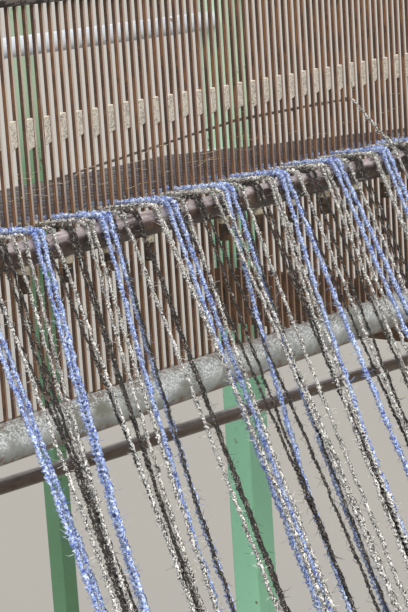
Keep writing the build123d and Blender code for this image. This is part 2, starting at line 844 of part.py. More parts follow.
with BuildPart() as clamp_screws:
    for side in (-1, 1):
        screw_x = side * (clamp_strip_half_length - clamp_screw_inset)
        spot = Plane(origin=(screw_x, rear_post_y, clamp_under_z))
        with BuildSketch(spot.offset(clamp_strip_height)):
            RegularPolygon(strip_screw_head_radius, hexagon)
        extrude(amount=strip_screw_head_height)
        with BuildSketch(spot):
            Circle(strip_screw_radius)
        extrude(amount=-end_size)
save(clamp_screws.part, "clamp_screws")


# Slide rails of the guide carriage and the stands at their ends
def rail_stand(x):
    """A tapered plate with round windows that stands on a floor beam and holds both slide rails."""
    top = slide_rail_z + slide_rail_radius + rail_stand_cover
    with BuildPart() as stand:
        with BuildSketch(Plane.YZ.offset(x - rail_stand_thickness / 2)):
            Polygon(
                (comb_y - rail_stand_foot / 2, beam_height),
                (comb_y + rail_stand_foot / 2, beam_height),
                (comb_y + rail_stand_top / 2, top),
                (comb_y - rail_stand_top / 2, top),
                align=None,
            )
            with Locations((comb_y, (beam_height + slide_rail_z) / 2)):
                with GridLocations(1, rail_stand_window_pitch, 1, rail_stand_window_count):
                    Circle(rail_stand_window_radius, mode=Mode.SUBTRACT)
            with Locations((comb_y, slide_rail_z)):
                with GridLocations(2 * slide_rail_half_spacing, 1, 2, 1):
                    Circle(slide_rail_radius + fixed_gap, mode=Mode.SUBTRACT)
        extrude(amount=rail_stand_thickness)
    return stand.part


save(rail_stand(-beam_x), "rail_stand_left")
save(rail_stand(beam_x), "rail_stand_right")
slide_rail_end = beam_x + rail_stand_thickness / 2 + slide_rail_overhang
front_slide_y = comb_y - slide_rail_half_spacing
rear_slide_y = comb_y + slide_rail_half_spacing
for rail_name, rail_y in (("front", front_slide_y), ("rear", rear_slide_y)):
    rail = bar_along_x(-slide_rail_end, slide_rail_end, rail_y, slide_rail_z, slide_rail_radius)
    save(rail, f"slide_rail_{rail_name}")

# Guide carriage: saddle, section reed, roller and clamp knob
saddle_half_depth = slide_rail_half_spacing + slide_rail_radius + saddle_wall
saddle_top = slide_rail_z + saddle_height / 2
ear_inner = saddle_length / 2 - saddle_ear_thickness
ear_back = comb_depth / 2 + ear_behind_comb
comb_foot_z = comb_z - comb_below_yarn - comb_base_height
comb_head_z = comb_z - comb_below_yarn + comb_opening + comb_base_height
saddle_plane = Plane.YZ.offset(section_centre - saddle_length / 2)
with BuildPart() as guide_saddle:
    with BuildSketch(saddle_plane):
        with Locations((comb_y, slide_rail_z)):
            Rectangle(2 * saddle_half_depth, saddle_height)
            with GridLocations(2 * slide_rail_half_spacing, 1, 2, 1):
                Circle(slide_rail_radius + running_gap, mode=Mode.SUBTRACT)
    extrude(amount=saddle_length)
    for start in (0, saddle_length - saddle_ear_thickness):
        with BuildSketch(saddle_plane.offset(start)) as ear:
            Polygon(
                (comb_y + ear_foot_back, saddle_top),
                (comb_y + ear_back, comb_foot_z),
                (comb_y + ear_back, comb_head_z),
                (comb_y - ear_before_comb, comb_head_z),
                (roller_axis_y - ear_nose_forward, roller_axis_z + ear_nose_rise),
                (roller_axis_y - ear_chin_forward, roller_axis_z - ear_chin_drop),
                (comb_y - saddle_half_depth + ear_foot_inset, saddle_top),
                align=None,
            )
            fillet(ear.vertices().group_by(Axis.Z)[-1], ear_corner_radius)
            with Locations((roller_axis_y, roller_axis_z)):
                Circle(roller_spindle_radius + fixed_gap, mode=Mode.SUBTRACT)
        extrude(amount=saddle_ear_thickness)
    saddle_back = (section_centre, comb_y + saddle_half_depth, slide_rail_z)
    with BuildSketch(Plane(origin=saddle_back, z_dir=(0, -1, 0))):
        Circle(clamp_screw_radius + running_gap)
    extrude(amount=saddle_wall + screw_hole_overrun, mode=Mode.SUBTRACT)
save(guide_saddle.part, "guide_saddle")

with BuildPart() as section_reed_frame:
    comb_back = Plane(
        origin=(section_centre, comb_y + comb_depth / 2, comb_foot_z),
        x_dir=(1, 0, 0),
        z_dir=(0, -1, 0),
    )
    with BuildSketch(comb_back):
        with Locations((0, (comb_head_z - comb_foot_z) / 2)):
            Rectangle(2 * ear_inner, comb_head_z - comb_foot_z)
            Rectangle(2 * (ear_inner - comb_post_width), comb_opening, mode=Mode.SUBTRACT)
    extrude(amount=comb_depth)
save(section_reed_frame.part, "section_reed_frame")

with BuildPart() as section_reed_wires:
    with Locations((section_centre, comb_y, comb_foot_z + comb_base_height + comb_opening / 2)):
        with GridLocations(comb_dent_pitch, 1, threaded_ends // ends_per_dent + 1, 1):
            Box(comb_wire_thickness, comb_wire_depth, comb_opening)
save(section_reed_wires.part, "section_reed_wires")

spindle_end = saddle_length / 2 + spindle_overhang
spindle_from = section_centre - spindle_end
spindle_to = section_centre + spindle_end
spindle = bar_along_x(spindle_from, spindle_to, roller_axis_y, roller_axis_z, roller_spindle_radius)
save(spindle, "roller_spindle")
with BuildPart() as guide_roller:
    with BuildSketch(Plane.YZ.offset(section_centre - ear_inner + roller_end_gap)):
        with Locations((roller_axis_y, roller_axis_z)):
            Circle(roller_radius)
            Circle(roller_spindle_radius + running_gap, mode=Mode.SUBTRACT)
    extrude(amount=2 * (ear_inner - roller_end_gap))
    chamfer(guide_roller.edges().filter_by(GeomType.CIRCLE).sort_by(SortBy.RADIUS)[-2:], roller_chamfer)
save(guide_roller.part, "guide_roller")

with BuildPart() as clamp_knob:
    screw_tip_y = rear_slide_y + slide_rail_radius + soft_gap
    knob_y = comb_y + saddle_half_depth + knob_standoff
    with BuildSketch(Plane(origin=(section_centre, screw_tip_y, slide_rail_z), z_dir=(0, 1, 0))):
        Circle(clamp_screw_radius)
    extrude(amount=knob_y - screw_tip_y)
    with BuildSketch(Plane(origin=(section_centre, knob_y, slide_rail_z), z_dir=(0, 1, 0))):
        Circle(clamp_knob_radius)
        with PolarLocations(clamp_knob_radius + knob_notch_offset, knob_notch_count):
            Circle(knob_notch_radius, mode=Mode.SUBTRACT)
    extrude(amount=clamp_knob_length)
save(clamp_knob.part, "clamp_knob")
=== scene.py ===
import json
import logging
import math
import random
from collections.abc import Callable
from dataclasses import dataclass, field
from enum import Enum

import bmesh
import bpy
import numpy as np
from mathutils import Matrix, Vector

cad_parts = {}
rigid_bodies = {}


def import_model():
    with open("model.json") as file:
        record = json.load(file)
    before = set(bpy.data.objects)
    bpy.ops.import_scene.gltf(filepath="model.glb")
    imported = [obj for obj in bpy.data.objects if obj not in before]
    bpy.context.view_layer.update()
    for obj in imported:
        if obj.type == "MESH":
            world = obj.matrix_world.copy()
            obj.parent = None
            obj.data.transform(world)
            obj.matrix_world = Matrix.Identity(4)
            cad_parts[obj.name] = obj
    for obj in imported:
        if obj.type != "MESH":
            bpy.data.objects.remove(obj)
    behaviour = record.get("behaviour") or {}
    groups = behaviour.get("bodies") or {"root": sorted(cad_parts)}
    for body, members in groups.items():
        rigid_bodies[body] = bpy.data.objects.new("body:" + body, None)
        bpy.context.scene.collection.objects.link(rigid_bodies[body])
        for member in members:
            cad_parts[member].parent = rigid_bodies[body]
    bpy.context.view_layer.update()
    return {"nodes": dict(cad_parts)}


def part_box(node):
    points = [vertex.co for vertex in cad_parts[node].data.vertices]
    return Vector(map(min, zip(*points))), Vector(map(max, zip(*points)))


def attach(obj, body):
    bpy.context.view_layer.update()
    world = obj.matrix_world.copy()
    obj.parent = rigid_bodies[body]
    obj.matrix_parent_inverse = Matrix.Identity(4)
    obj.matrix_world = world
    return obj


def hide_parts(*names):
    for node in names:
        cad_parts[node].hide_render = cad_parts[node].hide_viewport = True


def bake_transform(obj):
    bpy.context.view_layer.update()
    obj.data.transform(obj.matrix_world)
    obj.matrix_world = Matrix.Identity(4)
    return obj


for leftover in list(bpy.data.objects):
    bpy.data.objects.remove(leftover)
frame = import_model()

MM = 0.001
ENDS = 84
DENT_PITCH = 25.4 / 6 * MM
log = logging.getLogger("warping_mill")

Colour = tuple[float, float, float]


class Along(Enum):
    """The way that a grain or a run of brush marks lies on a piece."""

    X = (0.05, 1.0, 1.0)
    Y = (1.0, 0.05, 1.0)
    Z = (1.0, 1.0, 0.05)


class Shade(Enum):
    """The three kinds of warp yarn."""

    BLUE = "blue"
    LIGHT = "light"
    DARK = "dark"


def _binary(operation: str, reflected: bool = False) -> Callable[["Value", "Value | float"], "Value"]:
    """Makes the method of one operator between two shader values.

    Args:
        operation: the Math node's operation.
        reflected: whether the other value comes first.

    Returns:
        The method.
    """

    def method(self: "Value", other: "Value | float") -> "Value":
        """Adds the Math node of this operator."""
        first, second = (other, self) if reflected else (self, other)
        return self._math(operation, first, second)

    return method


class Value:
    """A shader socket that is used in sums, differences, products and quotients."""

    __add__ = _binary("ADD")
    __radd__ = _binary("ADD", reflected=True)
    __sub__ = _binary("SUBTRACT")
    __rsub__ = _binary("SUBTRACT", reflected=True)
    __mul__ = _binary("MULTIPLY")
    __rmul__ = _binary("MULTIPLY", reflected=True)
    __truediv__ = _binary("DIVIDE")
    __rtruediv__ = _binary("DIVIDE", reflected=True)

    def __init__(self, nodes: "Nodes", socket: bpy.types.NodeSocket) -> None:
        """Keeps the socket and the tree that it belongs to.

        Args:
            nodes: the tree that holds the socket.
            socket: the output socket.
        """
        self.nodes = nodes
        self.socket = socket

    def _math(self, operation: str, *operands: "Value | float") -> "Value":
        """Adds one Math node.

        Args:
            operation: the node's operation.
            *operands: its values or links, in order.

        Returns:
            The node's result.
        """
        return self.nodes.node("ShaderNodeMath", {"operation": operation}, dict(enumerate(operands)))

    def fraction(self) -> "Value":
        """The part after the decimal point."""
        return self._math("FRACT", self)

    def between(self, low: float, high: float) -> "Value":
        """Goes smoothly from 0 at low to 1 at high.

        Args:
            low: where the result is 0.
            high: where the result is 1.

        Returns:
            The eased value.
        """
        inputs = {"Value": self, "From Min": low, "From Max": high}
        return self.nodes.node("ShaderNodeMapRange", {"interpolation_type": "SMOOTHSTEP"}, inputs)


class Nodes:
    """A node tree under construction, for a material or for the world."""

    def __init__(self, holder: bpy.types.Material | bpy.types.World) -> None:
        """Starts with an empty tree.

        Args:
            holder: what the tree belongs to.
        """
        holder.use_nodes = True
        self.tree = holder.node_tree
        self.tree.nodes.clear()

    def plug(self, socket: bpy.types.NodeSocket, value: "Value | float | tuple") -> None:
        """Links a value to a socket, or sets it there.

        Args:
            socket: the input socket.
            value: a shader value, a number, a vector or a colour.
        """
        if isinstance(value, Value):
            self.tree.links.new(value.socket, socket)
        elif isinstance(value, tuple) and socket.type == "RGBA":
            socket.default_value = (*value, 1.0)
        else:
            socket.default_value = value

    def node(self, kind: str, settings: dict, inputs: dict, output: int | str = 0) -> Value:
        """Adds a node, with its settings made before its sockets are filled.

        Args:
            kind: the node's type.
            settings: its properties, with a ramp's as "stops" and "interpolation".
            inputs: its sockets by name or place, with their values or links.
            output: the socket that is the result.

        Returns:
            The result socket as a value.
        """
        made = self.tree.nodes.new(kind)
        for key, setting in settings.items():
            if key == "stops":
                self._fill_ramp(made.color_ramp, setting)
            elif key == "interpolation":
                made.color_ramp.interpolation = setting
            else:
                setattr(made, key, setting)
        for key, value in inputs.items():
            self.plug(made.inputs[key], value)
        return Value(self, made.outputs[output])

    @staticmethod
    def _fill_ramp(ramp: bpy.types.ColorRamp, stops: list[tuple[float, Colour]]) -> None:
        """Gives a ramp its stops.

        Args:
            ramp: the ramp.
            stops: places and colours from left to right.
        """
        while len(ramp.elements) < len(stops):
            ramp.elements.new(1.0)
        for element, (place, colour) in zip(ramp.elements, stops):
            element.position = place
            element.color = (*colour, 1.0)

    def place(self, stretch: tuple[float, float, float] = (1.0, 1.0, 1.0)) -> Value:
        """Object coordinates, in metres, with each axis scaled.

        Args:
            stretch: the scale of each axis.

        Returns:
            The coordinates.
        """
        spot = self.node("ShaderNodeTexCoord", {}, {}, "Object")
        return self.node("ShaderNodeVectorMath", {"operation": "MULTIPLY"}, {0: spot, 1: stretch})

    def axis(self, vector: Value, name: str) -> Value:
        """One component of a vector.

        Args:
            vector: the vector.
            name: X, Y or Z.

        Returns:
            The component.
        """
        return self.node("ShaderNodeSeparateXYZ", {}, {"Vector": vector}, name)

    def facing(self) -> Value:
        """The surface normal."""
        return self.node("ShaderNodeNewGeometry", {}, {}, "Normal")

    def noise(self, spot: Value, per_metre: float, detail: float = 3.0, rough: float = 0.55) -> Value:
        """Soft noise from 0 to 1.

        Args:
            spot: where it is read.
            per_metre: its scale.
            detail: octaves of detail.
            rough: weight of the fine octaves.

        Returns:
            The noise.
        """
        inputs = {"Vector": spot, "Scale": per_metre, "Detail": detail, "Roughness": rough}
        return self.node("ShaderNodeTexNoise", {"normalize": True}, inputs)

    def cells(self, spot: Value, per_metre: float) -> Value:
        """A random grey for each cell of a Voronoi pattern.

        Args:
            spot: where it is read.
            per_metre: cells to the metre.

        Returns:
            The grey of the cell.
        """
        colour = self.node("ShaderNodeTexVoronoi", {"feature": "F1"}, {"Vector": spot, "Scale": per_metre}, "Color")
        return self.axis(colour, "X")

    def mix(self, share: Value | float, first: Value | Colour, second: Value | Colour) -> Value:
        """Mixes two colours.

        Args:
            share: 0 for the first colour, 1 for the second.
            first: a colour.
            second: a colour.

        Returns:
            The mixed colour.
        """
        inputs = {0: share, 6: first, 7: second}
        return self.node("ShaderNodeMix", {"data_type": "RGBA", "clamp_factor": True}, inputs, 2)


class Shader(Nodes):
    """A material under construction, on one Principled shader."""

    def __init__(self, name: str) -> None:
        """Makes an empty material.

        Args:
            name: the material's name.
        """
        self.material = bpy.data.materials.new(name)
        super().__init__(self.material)
        self.body = self.tree.nodes.new("ShaderNodeBsdfPrincipled")
        output = self.tree.nodes.new("ShaderNodeOutputMaterial")
        self.tree.links.new(self.body.outputs["BSDF"], output.inputs["Surface"])

    def bump(self, height: Value, depth: float, strength: float = 1.0) -> None:
        """Feeds a height to the shader's normal.

        Args:
            height: the height, from 0 to 1.
            depth: what a height of 1 stands for, in metres.
            strength: the share of the bump.
        """
        relief = self.node("ShaderNodeBump", {}, {"Height": height, "Distance": depth, "Strength": strength})
        self.plug(self.body.inputs["Normal"], relief)

    def finish(self, **sockets: Value | float | Colour) -> None:
        """Fills the Principled shader's sockets.

        Args:
            **sockets: values by socket name, with _ for each space.
        """
        for name, value in sockets.items():
            self.plug(self.body.inputs[name.replace("_", " ").title()], value)


class Finish:
    """The finish of a piece: each kind below lays out its own material."""

    def make(self, name: str) -> bpy.types.Material:
        """Builds the material.

        Args:
            name: its name.

        Returns:
            The material.
        """
        shader = Shader(name)
        self.paint(shader)
        return shader.material

    def paint(self, s: Shader) -> None:
        """Lays out the pattern of the finish and its relief.

        Args:
            s: the material under construction.
        """
        raise NotImplementedError


@dataclass(frozen=True)
class MachinePaint(Finish):
    """Old machine enamel over rough metal, chipped where it is knocked."""

    colour: Colour
    under: Colour = (0.10, 0.075, 0.06)
    chips: float = 0.64
    grain: float = 420.0
    paler_top_colour: Colour | None = None
    paler_from_z: float = 1.25

    def paint(self, s: Shader) -> None:
        """Clouds the enamel, makes it paler towards the top and chips it down to the metal.

        Args:
            s: the material under construction.
        """
        spot = s.place()
        cloud = s.noise(spot, 9.0, 4.0)
        speck = s.noise(spot, 260.0, 3.0, 0.6)
        wear = (s.noise(spot, 38.0, 6.0, 0.68) + 0.12 * speck).between(self.chips, self.chips + 0.03)
        dull = tuple(0.72 * c for c in self.colour)
        pale = tuple(min(1.0, 1.12 * c + 0.01) for c in self.colour)
        coat = s.mix(cloud, dull, pale)
        coat = s.mix(speck.between(0.62, 0.75) * 0.35, coat, self.under)
        # paler towards the top: above a given height the coat fades to a paler colour
        if self.paler_top_colour:
            toward_top = (s.axis(spot, "Z") + 0.02 * cloud).between(self.paler_from_z, self.paler_from_z + 0.07)
            coat = s.mix(toward_top * 0.75, coat, self.paler_top_colour)
        s.bump(s.noise(spot, self.grain, 3.0) - 0.8 * wear, 0.0002, 0.5)
        rough = 0.42 + 0.16 * cloud + 0.25 * wear
        s.finish(base_color=s.mix(wear, coat, self.under), roughness=rough)


@dataclass(frozen=True)
class Timber(Finish):
    """Sawn or turned wood with its grain along one axis."""

    light: Colour
    dark: Colour
    along: Along
    polish: float = 0.55
    ring: float = 60.0

    def paint(self, s: Shader) -> None:
        """Lays rings, pores and stains along the grain.

        Args:
            s: the material under construction.
        """
        spot = s.place(self.along.value)
        warp = s.noise(spot, 9.0, 3.0)
        rings = (s.noise(spot, self.ring, 4.0, 0.6) + 0.5 * warp).between(0.45, 1.0)
        pores = s.noise(spot, 900.0, 2.0, 0.7).between(0.55, 0.72)
        stain = s.noise(s.place(), 5.0, 4.0)
        wood = s.mix(rings, self.light, self.dark)
        wood = s.mix(pores * 0.45, wood, tuple(0.45 * c for c in self.dark))
        wood = s.mix(stain.between(0.5, 0.85) * 0.5, wood, tuple(0.7 * c for c in self.dark))
        s.bump(-1.0 * pores + 0.4 * rings, 0.00025, 0.5)
        s.finish(base_color=wood, roughness=self.polish + 0.15 * pores + 0.1 * stain)


@dataclass(frozen=True)
class BareSteel(Finish):
    """Worn steel, with rust that gathers where nothing rubs it."""

    bright: Colour
    rust: Colour
    rusted: float
    along: Along = Along.X
    gloss: float = 0.34
    metal: float = 1.0
    rust_scale: float = 90.0

    def paint(self, s: Shader) -> None:
        """Brushes the steel along its length and lets rust patches grow on it.

        Args:
            s: the material under construction.
        """
        spot = s.place()
        brush = s.noise(s.place(self.along.value), 1500.0, 2.0, 0.7)
        fine = s.noise(spot, 1400.0, 3.0, 0.65)
        patch = s.noise(spot, self.rust_scale, 5.0, 0.65) + 0.22 * fine
        patch = patch.between(1.0 - self.rusted, 1.16 - self.rusted)
        deep = tuple(0.45 * c for c in self.rust)
        crust = s.mix(s.noise(spot, 700.0, 4.0, 0.7).between(0.35, 0.7), deep, self.rust)
        tint = s.mix(brush, tuple(0.8 * c for c in self.bright), self.bright)
        s.bump(0.3 * brush + patch * fine, 0.00018, 0.6)
        s.finish(
            base_color=s.mix(patch, tint, crust),
            metallic=(1.0 - 0.85 * patch) * self.metal,
            roughness=self.gloss + 0.12 * brush + 0.4 * patch,
        )


@dataclass(frozen=True)
class RubbedBarPaintedHighlight(Finish):
    """A dark rusted bar that the yarn keeps smooth, with a warm polish and a painted highlight on its top."""

    dark: Colour = (0.045, 0.032, 0.028)
    # colour of the rubbed polish and of the painted highlight on the bar's top
    sheen: Colour = (0.72, 0.63, 0.66)
    rust: Colour = (0.12, 0.074, 0.055)

    def paint(self, s: Shader) -> None:
        """Rubs the top of the rusty bar to a polish with a painted highlight on it, with dark pits.

        Args:
            s: the material under construction.
        """
        spot = s.place()
        blot = s.noise(spot, 130.0, 5.0, 0.62)
        pit = s.noise(spot, 1500.0, 3.0, 0.7)
        top = s.axis(s.facing(), "Z").between(0.05, 0.85)
        rubbed = (s.noise(s.place(Along.X.value), 300.0, 5.0, 0.7) + 0.6 * blot + 0.3 * (top - 0.5)).between(0.68, 1.02)
        body = s.mix(blot.between(0.42, 0.62), self.dark, self.rust)
        # painted highlight: the sheen colour goes mostly on the up-facing top, together with the rubbed patches
        body = s.mix(rubbed * (0.12 + 0.83 * top), body, self.sheen)
        body = s.mix(pit.between(0.56, 0.70) * 0.6, body, self.dark)
        s.bump(pit + blot, 0.00012, 0.6)
        s.finish(base_color=body, metallic=0.15 + 0.15 * rubbed, roughness=0.26 + 0.25 * pit)


@dataclass(frozen=True)
class ReedWire(Finish):
    """Flat reed wire: rust brown on its sides, rubbed pale on its front edge."""

    side: Colour = (0.130, 0.062, 0.033)
    side_dark: Colour = (0.036, 0.022, 0.016)
    side_rust: Colour = (0.27, 0.115, 0.042)
    front: Colour = (0.43, 0.30, 0.215)
    front_pale: Colour = (0.66, 0.57, 0.49)
    front_tan: Colour = (0.42, 0.31, 0.245)
    front_dark: Colour = (0.17, 0.085, 0.05)
    middle_y: float = 0.640
    pitch: float = DENT_PITCH
    worn_from: float = 0.40
    tan_from: tuple[float, float] = (-0.13, -0.02)

    def paint(self, s: Shader) -> None:
        """Rusts the sides of each wire, paints shade on their rear part, and rubs its front edge, most where the yarn
        runs.

        Args:
            s: the material under construction.
        """
        spot = s.place()
        height = s.axis(spot, "Z")
        streak = s.noise(s.place(Along.Z.value), 900.0, 4.0, 0.6)
        each = s.cells(s.place((1.0, 0.0, 0.09)), 236.0)
        grit = s.noise(spot, 1600.0, 3.0, 0.65)
        edge = (-1.0 * s.axis(s.facing(), "Y")).between(0.35, 0.8)
        rubbed = (streak + 0.35 * grit + 0.25 * (each - 0.5)).between(0.30, 0.66)
        across = (s.axis(spot, "X") / self.pitch + 50.0).fraction() + 0.04 * (streak - 0.5)
        rubbed = rubbed * across.between(self.worn_from, self.worn_from + 0.05)
        handled = height.between(1.288, 1.312)
        blotch = (s.noise(s.place((2.5, 1.0, 0.7)), 95.0, 5.0, 0.65) + 0.06 * (each - 0.5)).between(0.46, 0.62)
        sides = s.mix((grit + 0.4 * streak + 0.22 * (each - 0.5)).between(0.45, 0.85), self.side_dark, self.side)
        sides = s.mix(blotch * 0.8, sides, self.side_rust)
        # painted shade: the rear part of each wire's side, deep in the gap between wires, darkens
        back = (s.axis(spot, "Y") - self.middle_y).between(-0.0001, 0.0006)
        sides = s.mix(back * 0.8, sides, self.side_dark)
        far = (s.axis(spot, "X") + 0.02 * (streak - 0.5)).between(*self.tan_from)
        face = s.mix(handled, self.front, s.mix(far, self.front_pale, self.front_tan))
        face = s.mix(rubbed, self.front_dark, face)
        s.bump(grit + 0.6 * streak, 0.00008, 0.6)
        s.finish(
            base_color=s.mix(edge, sides, face),
            metallic=0.35 * edge,
            roughness=0.62 - 0.2 * edge * rubbed,
        )


@dataclass(frozen=True)
class PegFinish(Finish):
    """A dark steel peg with a pale worn head under the bar."""

    shoulder: float
    shaft: Colour = (0.045, 0.036, 0.030)
    rust: Colour = (0.14, 0.085, 0.050)
    head: Colour = (0.66, 0.59, 0.45)

    def paint(self, s: Shader) -> None:
        """Darkens the shaft and wears the head pale.

        Args:
            s: the material under construction.
        """
        spot = s.place()
        grit = s.noise(spot, 1300.0, 4.0, 0.65)
        crust = s.noise(spot, 330.0, 4.0, 0.6)
        up = s.axis(spot, "Z").between(self.shoulder - 0.0002, self.shoulder + 0.0002)
        steel = s.mix(crust.between(0.42, 0.62), self.shaft, self.rust)
        worn = (grit + 0.5 * crust).between(0.55, 0.85)
        s.bump(grit, 0.00012, 0.6)
        s.finish(
            base_color=s.mix(up * (0.35 + 0.65 * worn), steel, self.head),
            metallic=0.35 - 0.3 * up,
            roughness=0.42 + 0.25 * grit,
        )


@dataclass(frozen=True)
class ZincTube(Finish):
    """A galvanised tube with zinc spangle, a painted highlight of bright cells on its top, painted shade on its
    underside, and rust along its slot and underside.
    """

    zinc: Colour = (0.60, 0.65, 0.65)
    # colour of the bright cells of the painted highlight on the top
    spangle_highlight: Colour = (0.95, 1.0, 1.0)
    dull: Colour = (0.27, 0.27, 0.23)
    rust: Colour = (0.25, 0.14, 0.09)
    # band of the underside mark: rust on the galvanised tube, painted shade where the rust colour is near black
    rust_and_shade_band: tuple[float, float] = (0.66, 0.80)

    def paint(self, s: Shader) -> None:
        """Scatters zinc cells over the tube, paints a highlight of bright cells on its top and shade on its underside,
        and marks its slot and underside with the rust colour.

        Args:
            s: the material under construction.
        """
        spot = s.place()
        up = s.axis(s.facing(), "Z")
        spangle = s.cells(spot, 1900.0)
        cloud = s.noise(spot, 55.0, 5.0, 0.65)
        skin = s.mix(cloud.between(0.34, 0.62), self.dull, self.zinc)
        # painted highlight: the bright cells show only where the tube faces up
        lit = (cloud + 0.26 * up).between(0.50, 0.68)
        skin = s.mix(spangle.between(0.35, 0.75) * lit, skin, self.spangle_highlight)
        skin = s.mix(spangle.between(0.30, 0.10) * 0.35, skin, self.dull)
        # painted shade: the down-facing underside is dulled
        skin = s.mix((-1.0 * up).between(-0.35, 0.9) * 0.5, skin, self.dull)
        low = (s.noise(spot, 170.0, 5.0, 0.7) - 0.34 * up).between(*self.rust_and_shade_band)
        lip = (s.noise(spot, 260.0, 4.0, 0.7) + 0.60 * up).between(0.99, 1.12)
        s.bump(s.noise(spot, 1300.0, 3.0, 0.6) + 0.5 * cloud, 0.00015, 0.6)
        s.finish(
            base_color=s.mix(low * 0.85 + lip * 0.5, skin, self.rust),
            metallic=0.22 - 0.2 * low,
            roughness=0.32 + 0.3 * spangle * (1.0 - low) + 0.3 * low,
        )


@dataclass(frozen=True)
class CastFilling(Finish):
    """Grainy pale filling cast between the wires."""

    pale: Colour = (0.66, 0.61, 0.52)
    grey: Colour = (0.24, 0.22, 0.19)
    # painted highlight colour for the up-facing top
    cap: Colour = (0.88, 0.80, 0.66)

    def paint(self, s: Shader) -> None:
        """Speckles the filling, with a painted highlight on its top.

        Args:
            s: the material under construction.
        """
        spot = s.place()
        up = s.axis(s.facing(), "Z").between(0.25, 0.8)
        grit = s.cells(spot, 2200.0)
        grain = s.noise(spot, 1500.0, 4.0, 0.75)
        blot = s.noise(spot, 300.0, 3.0)
        stone = s.mix((grit + (grain - 0.5) * 1.7 + (blot - 0.5)).between(-0.25, 0.75), self.grey, self.pale)
        s.bump(grain + 0.3 * grit, 0.00016, 0.9)
        # painted highlight: the up-facing top takes the pale cap colour
        s.finish(base_color=s.mix(up, stone, self.cap), roughness=0.78 - 0.1 * grain)


@dataclass(frozen=True)
class MarlYarn(Finish):
    """Hairy two-ply yarn, speckled with short tufts of other fibres."""

    main: Colour
    fleck: Colour
    pale: Colour
    flecks: float
    pales: float
    drift: float = 1.1
    ply_contrast: float = 0.10
    sheen: float = 0.3
    sheen_spread: float = 0.45
    on_strand: bool = True
    # painted shade colour for the ends behind the reed
    reed_shade_colour: Colour = (0.086, 0.072, 0.062)
    reed_shade_from_y: float = 0.643

    def paint(self, s: Shader) -> None:
        """Speckles the yarn along each strand's own place, or along the object where it has none, and paints shade on
        the ends behind the reed.

        Args:
            s: the material under construction.
        """
        ply: Value | float = 0.5
        strand = s.place()
        if self.on_strand:
            strand = s.node("ShaderNodeAttribute", {"attribute_name": "strand"}, {}, "Vector")
            ply = s.node("ShaderNodeAttribute", {"attribute_name": "ply"}, {}, "Fac")
        tuft = s.noise(strand, 210.0, 4.0, 0.7)
        speck = s.cells(strand, 2300.0)
        grain = s.noise(strand, 4200.0, 2.0, 0.8)
        tone = speck + (tuft - 0.5) * self.drift + (grain - 0.5) * 0.6 + self.ply_contrast * (ply - 0.5)
        dark = tone.between(self.flecks - 0.05, self.flecks + 0.05)
        pale = tone.between(1.0 - self.pales - 0.07, 1.0 - self.pales + 0.07)
        wool = s.mix(dark, self.fleck, self.main)
        wool = s.mix(pale, wool, self.pale)
        if self.on_strand:
            # painted shade: past a given Y, behind the reed, the ends darken to a dull brown
            behind_reed_shade = s.axis(s.place(), "Y").between(self.reed_shade_from_y, self.reed_shade_from_y + 0.02)
            wool = s.mix(behind_reed_shade * 0.87, wool, self.reed_shade_colour)
        s.bump(0.5 * speck + grain, 0.00018, 0.8)
        s.finish(base_color=wool, roughness=0.9, sheen_weight=self.sheen, sheen_roughness=self.sheen_spread)


@dataclass(frozen=True)
class WoundWarp(Finish):
    """The striped warp as it lies on the drum, turn on turn."""

    start: float
    end_width: float
    stripes: tuple[Colour, ...]
    groove_shade: Colour = (0.05, 0.045, 0.04)
    gap: Colour = (0.06, 0.055, 0.05)

    def paint(self, s: Shader) -> None:
        """Stripes the wound ends in their order, each with a rounded top, and paints shade in the grooves between them.

        Args:
            s: the material under construction.
        """
        spot = s.place()
        wander = (s.noise(s.place((0.2, 1.0, 1.0)), 14.0, 2.0) - 0.5) * (0.9 * self.end_width)
        ends = (s.axis(spot, "X") + wander - self.start) / self.end_width
        repeat = (ends / float(len(self.stripes))).fraction()
        stops = [(i / len(self.stripes), c) for i, c in enumerate(self.stripes)]
        stripe = s.node("ShaderNodeValToRGB", {"interpolation": "CONSTANT", "stops": stops}, {"Fac": repeat})
        fibre = s.noise(spot, 1500.0, 3.0, 0.7)
        round_top = 1.0 - (ends.fraction() - 0.5) * (ends.fraction() - 0.5) * 4.0
        # painted shade: darkens towards the groove between neighbouring ends
        shade = s.mix((1.0 - round_top) * 0.7, stripe, self.groove_shade)
        s.bump(round_top + 0.5 * fibre, 0.0009, 0.8)
        s.finish(base_color=s.mix(fibre.between(0.3, 0.5), self.gap, shade), roughness=0.92)


STRIPE_ORDER = (Shade.LIGHT, Shade.LIGHT, Shade.BLUE, Shade.BLUE, Shade.DARK, Shade.LIGHT, Shade.DARK, Shade.DARK)
YARNS = {
    Shade.BLUE: MarlYarn((0.25, 0.37, 0.79), (0.055, 0.080, 0.33), (0.74, 0.85, 1.0), 0.26, 0.34, 0.8),
    Shade.LIGHT: MarlYarn((0.40, 0.38, 0.34), (0.020, 0.018, 0.016), (0.97, 0.95, 0.90), 0.38, 0.38),
    Shade.DARK: MarlYarn((0.034, 0.026, 0.021), (0.009, 0.008, 0.007), (0.50, 0.46, 0.40), 0.50, 0.085, sheen=0.08),
}
STRIPE_TONES = {Shade.BLUE: (0.21, 0.33, 0.76), Shade.LIGHT: (0.44, 0.42, 0.38), Shade.DARK: (0.075, 0.062, 0.052)}


@dataclass(frozen=True)
class Hang:
    """How the ends of one colour hang between the guide bar and the section reed."""

    sideways: float
    slack: float
    scatter: float
    girth: float
    ride: float


HANG = {
    Shade.BLUE: Hang(-4.0 * MM, 9.5 * MM, 0.8 * MM, 1.38, 1.5 * MM),
    Shade.LIGHT: Hang(3.0 * MM, 0.0, 3.0 * MM, 1.0, 0.7 * MM),
    Shade.DARK: Hang(0.5 * MM, 0.5 * MM, 3.2 * MM, 0.82, 0.0),
}


